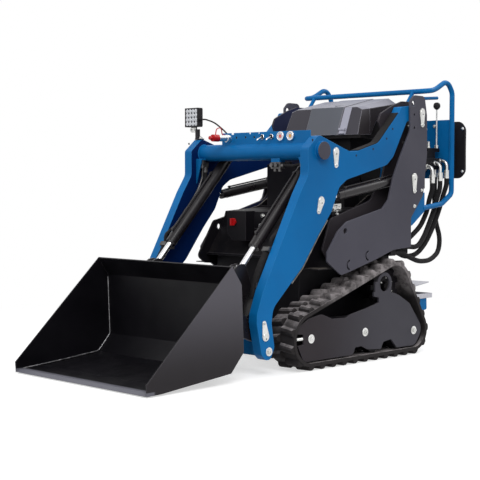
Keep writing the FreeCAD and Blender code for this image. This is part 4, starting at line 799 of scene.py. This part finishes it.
def make_junction():
    """Hose junction beside the pump, with its bright fittings."""
    block = bmesh.new()
    slab_mesh(block, [(x, 0, z) for x, z in JUNCTION], (0, JUNCTION_IN, 0),
              (0, JUNCTION_OUT - JUNCTION_IN, 0))
    piece("junction_block", block, "chassis", "black_paint")
    fittings = bmesh.new()
    for x, z, size in JUNCTION_PORTS:
        lathe(fittings, (x, JUNCTION_OUT, z), LEFT,
              [(size * 1.25, 0.0), (size * 1.25, 0.004), (size, 0.004), (size, 0.011),
               (size * 0.7, 0.013), (0.0, 0.013)], 6)
    lathe(fittings, TOP_PORT, UP, TOP_FITTING, 6)
    piece("junction_fittings", fittings, "chassis", "zinc_steel")


# ------------------------------------------------------------------------ work lamp
STRAP_Y = (-0.546, -0.498)
STRAP_Z = (1.347, 1.372)
STRAP_BACK = 0.0462
STRAP_THICK = 0.0022
STRAP_BOLT = (0.0065, 1.4)      # half width, and the washer's multiple of it
STRAP_BOLT_INSET = 0.010
LAMP_NUT = (0.0095, 1.3)
LAMP_NUT_PLACE = (0.038, -0.463, 0.006)         # its height is above the lamp's foot
LAMP_ROWS = 4                   # of lenses, and as many columns
BOARD_THICK = 0.0008


def make_lamp_bracket():
    """Zinc strap and nuts where the work lamp is clamped."""
    low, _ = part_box("work_lamp")
    strap = bmesh.new()
    right, left = STRAP_Y
    bottom, top = STRAP_Z
    outline = [(0, right, bottom), (0, left, bottom), (0, left, top), (0, right, top)]
    slab_mesh(strap, outline, (STRAP_BACK, 0, 0), (STRAP_THICK, 0, 0))
    for y in (right + STRAP_BOLT_INSET, left - STRAP_BOLT_INSET):
        bolt(strap, (STRAP_BACK + STRAP_THICK, y, (bottom + top) / 2), AHEAD,
             *STRAP_BOLT)
    x, y, rise = LAMP_NUT_PLACE
    bolt(strap, (x, y, low.z + rise), UP, *LAMP_NUT)
    piece("lamp_strap", strap, "lift_arms", "zinc_steel")


def make_lamp_face():
    """Diode board behind the lamp's glass: domed lenses in a dark frame."""
    low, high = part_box("lamp_lens")
    board = bmesh.new()
    back = low.x + SKIM
    outline = [(0, low.y, low.z), (0, high.y, low.z), (0, high.y, high.z), (0, low.y, high.z)]
    slab_mesh(board, outline, (back, 0, 0), (BOARD_THICK, 0, 0))
    lenses = bmesh.new()
    pitch_y = (high.y - low.y) / LAMP_ROWS
    pitch_z = (high.z - low.z) / LAMP_ROWS
    dome = [(pitch_y * 0.66, 0.0), (pitch_y * 0.65, 0.0008), (pitch_y * 0.52, 0.0019),
            (pitch_y * 0.2, 0.0026), (0.0, 0.0028)]
    for row in range(LAMP_ROWS):
        for column in range(LAMP_ROWS):
            place = (back + BOARD_THICK, low.y + pitch_y * (column + 0.5),
                     low.z + pitch_z * (row + 0.5))
            lathe(lenses, place, AHEAD, dome, 4, math.pi / 4)
    face = piece("lamp_board", board, "lift_arms", "black_plastic", LAMP_BOARD)
    glow = piece("lamp_lenses", lenses, "lift_arms", "lamp_glass", LENS, sharp=60.0)
    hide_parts("lamp_lens")
    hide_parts("lamp_lens")


# -------------------------------------------------------------- gauges and controls
DIALS = (("dial_left", 0.302, DIAL_AMBER), ("dial_right", 0.225, DIAL_RED))
TOGGLE_YS = (0.077, 0.150)
DIAL_BEZEL = [(0.0245, 0.0), (0.0262, 0.001), (0.0262, 0.0125), (0.0245, 0.0148),
              (0.0208, 0.0148), (0.0200, 0.0124)]
TOGGLE_NUT = [(0.0165, 0.0), (0.0165, 0.007), (0.0145, 0.009), (0.0122, 0.009)]
TOGGLE_BAT = [(0.0045, 0.0), (0.0042, 0.012), (0.0058, 0.034), (0.0055, 0.040),
              (0.0035, 0.043), (0.0, 0.0438)]
BAT_LEAN = (0.905, 0.0, -0.425)
BAT_START = 0.010               # ahead of the panel
DIAL_CARD = 0.0122              # the dial's card and its printed middle, ahead of the panel
DIAL_MIDDLE = 0.0127
GRIP_PLACE = (-1.181, 0.412, 1.4945)
GRIP = [(0.0066, 0.0), (0.0095, 0.001), (0.0115, 0.004), (0.0180, 0.009), (0.0216, 0.0170),
        (0.0222, 0.0240), (0.0208, 0.0330), (0.0166, 0.0405), (0.0094, 0.0450), (0.0, 0.0460)]


def make_dials():
    """Gauge bezels and faces, and the toggles' nuts and bats."""
    rings = bmesh.new()
    for _, y, _ in DIALS:
        lathe(rings, (PANEL_FACE + SKIM, y, GAUGE_Z), AHEAD, DIAL_BEZEL, 40)
    for y in TOGGLE_YS:
        lathe(rings, (PANEL_FACE + SKIM, y, GAUGE_Z), AHEAD, TOGGLE_NUT, 6)
        lathe(rings, (PANEL_FACE + BAT_START, y, GAUGE_Z - 0.001), BAT_LEAN, TOGGLE_BAT, 20)
    piece("panel_rings", rings, "lift_arms", "chrome")
    for name, y, colour in DIALS:
        card = bmesh.new()
        lathe(card, (PANEL_FACE + DIAL_CARD, y, GAUGE_Z), AHEAD, disc(0.0201, 0.0004), 36)
        piece(name + "_plate", card, "lift_arms", "black_plastic", DIAL_WHITE)
        centre = bmesh.new()
        lathe(centre, (PANEL_FACE + DIAL_MIDDLE, y, GAUGE_Z), AHEAD, disc(0.0105, 0.0003), 30)
        piece(name + "_middle", centre, "lift_arms", "red_plastic", colour)


def make_lever_grips():
    """Round grip with a collar, over the long lever's end."""
    grips = bmesh.new()
    lathe(grips, GRIP_PLACE, UP, GRIP, 36)
    piece("lever_grips", grips, "chassis", "black_plastic", sharp=80.0)


# ---------------------------------------------------------------------------- welds
BUCKET_BEAD = 0.0035
BUCKET_RUN = ((1.300, 0.0215), (1.190, 0.0295), (1.000, 0.045), (0.790, 0.0655),
              (0.770, 0.073), (0.698, 0.152), (0.6905, 0.170), (0.6975, 0.330),
              (0.7035, 0.492))
TUBE_BEAD = 0.003
TUBE_STEPS = 48


def make_welds():
    """Weld beads inside the bucket and round the cross tube."""
    run = [(x, BUCKET_IN - 0.0025, z) for x, z in BUCKET_RUN]
    bead_pair("bucket_weld", run, BUCKET_BEAD, "bucket", "black_paint", material=WELD)
    off = TUBE_BEAD / 2
    radius = CROSS_TUBE_R + off
    for name, y in (("inner", ARM_IN - off), ("outer", ARM_OUT + off)):
        ring = []
        for index in range(TUBE_STEPS):
            angle = 2 * math.pi * index / TUBE_STEPS
            ring.append((CROSS_TUBE[0] + radius * math.cos(angle), y,
                         CROSS_TUBE[1] + radius * math.sin(angle)))
        bead_pair("tube_weld_" + name, ring, TUBE_BEAD, "lift_arms", "blue_paint", closed=True)


# ------------------------------------------------------------------------ thigh pad
PAD_PLATE_THICK = 0.0044
PLATE_GAP = 0.0001              # between the plate and the rear panel
PLATE_INSET = 0.001             # from the pad's outline in to the plate's and the foam's
FOAM_INSET = 0.006
PLATE_CORNER = 0.054
FOAM_CORNER = 0.052
CORNER_STEPS = 8
FOAM_ROOM = 0.007               # behind the foam, for it to swell into
FOAM_THICK = 0.033
FOAM_BEVEL = 0.011
PAD_BOLT = (0.0065, 1.6)
PAD_BOLT_INSET = (0.019, 0.046)                 # in from its sides, and from its top and bottom
SWELL_VOXEL = 0.007
SWELL_PRESSURE = 3.0
SWELL_CAP = 0.0055              # farthest that the foam may move out
SWELL_FRAMES = 20


def rounded_corners(half_width, half_height, radius):
    """Outline of a rounded rectangle as (across, up) pairs."""
    points = []
    for number, (across, up) in enumerate(((1, 1), (-1, 1), (-1, -1), (1, -1))):
        for step in range(CORNER_STEPS + 1):
            angle = math.pi / 2 * (number + step / CORNER_STEPS)
            points.append((across * (half_width - radius) + radius * math.cos(angle),
                           up * (half_height - radius) + radius * math.sin(angle)))
    return points


def swell(thing):
    """Puff a closed mesh with a short cloth simulation, within a cap."""
    modifier = thing.modifiers.new("voxels", "REMESH")
    modifier.mode = "VOXEL"
    modifier.voxel_size = SWELL_VOXEL
    apply_modifiers(thing)
    start = [vertex.co.copy() for vertex in thing.data.vertices]
    cloth = thing.modifiers.new("cloth", "CLOTH")
    cloth.settings.use_pressure = True
    cloth.settings.uniform_pressure_force = SWELL_PRESSURE
    cloth.settings.effector_weights.gravity = 0.0
    cloth.point_cache.frame_start = 1
    cloth.point_cache.frame_end = SWELL_FRAMES
    scene = bpy.context.scene
    for step in range(1, SWELL_FRAMES + 1):
        scene.frame_set(step)
    apply_modifiers(thing)
    for vertex, before in zip(thing.data.vertices, start):
        move = vertex.co - before
        if move.length > SWELL_CAP:
            vertex.co = before + move.normalized() * SWELL_CAP
    scene.frame_set(1)


def make_foam(low, high, middle, half_width, half_height):
    """The pad's foam, puffed as cloth and then kept within the pad's box."""
    foam = bmesh.new()
    corners = rounded_corners(half_width - FOAM_INSET, half_height - FOAM_INSET, FOAM_CORNER)
    slab_mesh(foam, [(0, y, z) for y, z in corners], (low.x + FOAM_ROOM, middle.y, middle.z),
              (FOAM_THICK, 0, 0))
    pad = piece("pad_foam_body", foam, "chassis", "pad_foam", sharp=180.0)
    modifier = pad.modifiers.new("bevel", "BEVEL")
    modifier.width = FOAM_BEVEL
    modifier.segments = 4
    modifier.limit_method = "ANGLE"
    apply_modifiers(pad)
    swell(pad)
    front = high.x - PAD_PLATE_THICK - SKIM
    for vertex in pad.data.vertices:
        vertex.co.x = min(max(vertex.co.x, low.x), front)
        vertex.co.y = min(max(vertex.co.y, low.y), high.y)
        vertex.co.z = min(max(vertex.co.z, low.z), high.z)
    pad.data.shade_smooth()
    smooth = pad.modifiers.new("smooth", "SUBSURF")
    smooth.levels = 1
    smooth.render_levels = 1
    return pad


def make_pad():
    """Foam pad on a steel backing plate with its bolts."""
    low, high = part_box("thigh_pad")
    middle = (low + high) / 2
    half_width = (high.y - low.y) / 2
    half_height = (high.z - low.z) / 2
    plate = bmesh.new()
    corners = rounded_corners(half_width - PLATE_INSET, half_height - PLATE_INSET, PLATE_CORNER)
    slab_mesh(plate, [(0, y, z) for y, z in corners],
              (high.x - PAD_PLATE_THICK - PLATE_GAP, middle.y, middle.z),
              (PAD_PLATE_THICK, 0, 0))
    back = piece("pad_plate", plate, "chassis", "black_plastic", bevel=0.0012)
    pad = make_foam(low, high, middle, half_width, half_height)
    bolts = bmesh.new()
    inset_y, inset_z = PAD_BOLT_INSET
    for y in (-1, 1):
        for z in (-1, 1):
            bolt(bolts, (high.x - PLATE_GAP, middle.y + y * (half_width - inset_y),
                         middle.z + z * (half_height - inset_z)), AHEAD, *PAD_BOLT)
    piece("pad_bolts", bolts, "chassis", "zinc_steel")
    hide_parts("thigh_pad")
    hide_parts("thigh_pad")


# ------------------------------------------------------------------ floor and light
WHITE = (1.0, 1.0, 1.0, 1.0)
FLOOR_HALF = 60.0
FLOOR_DROP = 0.0005             # below the lowest point of the solids
FLOOR_GLOW = 0.56               # its own light near the machine, as a share of the background's
FLOOR_NEAR = 1.9                # where it starts to turn into the background, and where it has
FLOOR_FAR = 3.4
WORLD_LIGHT = 0.72              # the background's strength as a light
LAMP_SIZE = 4.0
CAMERA_PLACE = (5.1066, 4.9630, 1.0466)
CAMERA_AZIMUTH = 45.1           # degrees, from X toward Y, of the side it looks from
CAMERA_PITCH = 2.8              # degrees that it looks down
CAMERA_LENS = 90.74             # millimetres, like the sensor's width
CAMERA_SENSOR = 36.0


def seen_rays(tree):
    """1 for what the camera sees straight, in a reflection or through glass, else 0."""
    rays = tree.nodes.new("ShaderNodeLightPath").outputs
    seen = rays["Is Camera Ray"]
    for kind in ("Is Glossy Ray", "Is Transmission Ray"):
        larger = tree.nodes.new("ShaderNodeMath")
        larger.operation = "MAXIMUM"
        tree.links.new(seen, larger.inputs[0])
        tree.links.new(rays[kind], larger.inputs[1])
        seen = larger.outputs[0]
    return seen


def make_floor():
    """Pale floor with the object's soft shadow; far away it turns into the background."""
    mesh = bpy.data.meshes.new("floor")
    level = cad_low.z - FLOOR_DROP
    corners = [(-FLOOR_HALF, -FLOOR_HALF), (FLOOR_HALF, -FLOOR_HALF),
               (FLOOR_HALF, FLOOR_HALF), (-FLOOR_HALF, FLOOR_HALF)]
    mesh.from_pydata([(x, y, level) for x, y in corners], [], [(0, 1, 2, 3)])
    floor = add_object("floor", mesh)
    shader = Shader("floor")
    shader.put(Roughness=0.9, Specular_IOR_Level=0.0, Emission_Color=WHITE)
    distance = shader.node("ShaderNodeVectorMath", operation="LENGTH")
    shader.link(shader.object_space, distance.inputs[0])
    far = shader.remap(distance.outputs["Value"], FLOOR_NEAR, FLOOR_FAR)
    near_tone = shader.mix(shader.cloud(3.0, 3.0), (0.60, 0.60, 0.60, 1.0),
                           (0.62, 0.62, 0.62, 1.0))
    shader.colour(shader.mix(far, near_tone, (0.0, 0.0, 0.0, 1.0)))
    glow = shader.remap(far, 0.0, 1.0, FLOOR_GLOW, 1.0)
    shader.link(shader.multiply(glow, seen_rays(shader.tree)),
                shader.surface.inputs["Emission Strength"])
    mesh.materials.append(shader.material)


def make_world():
    """White background that lights the machine less strongly than it looks."""
    world = bpy.data.worlds.new("studio")
    bpy.context.scene.world = world
    world.use_nodes = True
    tree = world.node_tree
    strength = tree.nodes.new("ShaderNodeMapRange")
    strength.inputs["To Min"].default_value = WORLD_LIGHT
    strength.inputs["To Max"].default_value = 1.0
    tree.links.new(seen_rays(tree), strength.inputs["Value"])
    back = tree.nodes["Background"]
    back.inputs["Color"].default_value = WHITE
    tree.links.new(strength.outputs["Result"], back.inputs["Strength"])


def make_lamp(name, place, aim, power):
    light = bpy.data.lights.new(name, "AREA")
    light.shape = "DISK"
    light.size = LAMP_SIZE
    light.energy = power
    lamp = add_object(name, light)
    lamp.location = place
    lamp.rotation_euler = (Vector(aim) - Vector(place)).to_track_quat("-Z", "Y").to_euler()


def make_camera():
    """Camera at the machine's front left, a little above its middle."""
    azimuth = math.radians(CAMERA_AZIMUTH)
    pitch = math.radians(CAMERA_PITCH)
    aim = Vector((-math.cos(azimuth) * math.cos(pitch), -math.sin(azimuth) * math.cos(pitch),
                  -math.sin(pitch)))
    camera = bpy.data.cameras.new("camera")
    camera.lens = CAMERA_LENS
    camera.sensor_width = CAMERA_SENSOR
    holder = add_object("camera", camera)
    holder.location = CAMERA_PLACE
    holder.rotation_euler = aim.to_track_quat("-Z", "Y").to_euler()
    bpy.context.scene.camera = holder


make_camera()
make_floor()
make_world()
make_lamp("key", (3.5, 4.5, 6.0), (-0.2, 0.0, 0.6), 240.0)
make_lamp("fill", (6.0, -2.5, 3.0), (0.0, 0.0, 0.6), 52.0)
make_lamp("back", (-5.0, 1.0, 5.0), (-0.2, 0.0, 0.8), 95.0)
bpy.context.scene.view_settings.view_transform = "Standard"
dress_nodes()
make_bolts()
make_arm_plugs()
make_panel_plugs()
make_arm_strip()
make_arm_pipes()
make_junction()
make_lamp_bracket()
make_lamp_face()
make_dials()
make_lever_grips()
make_welds()
make_pad()
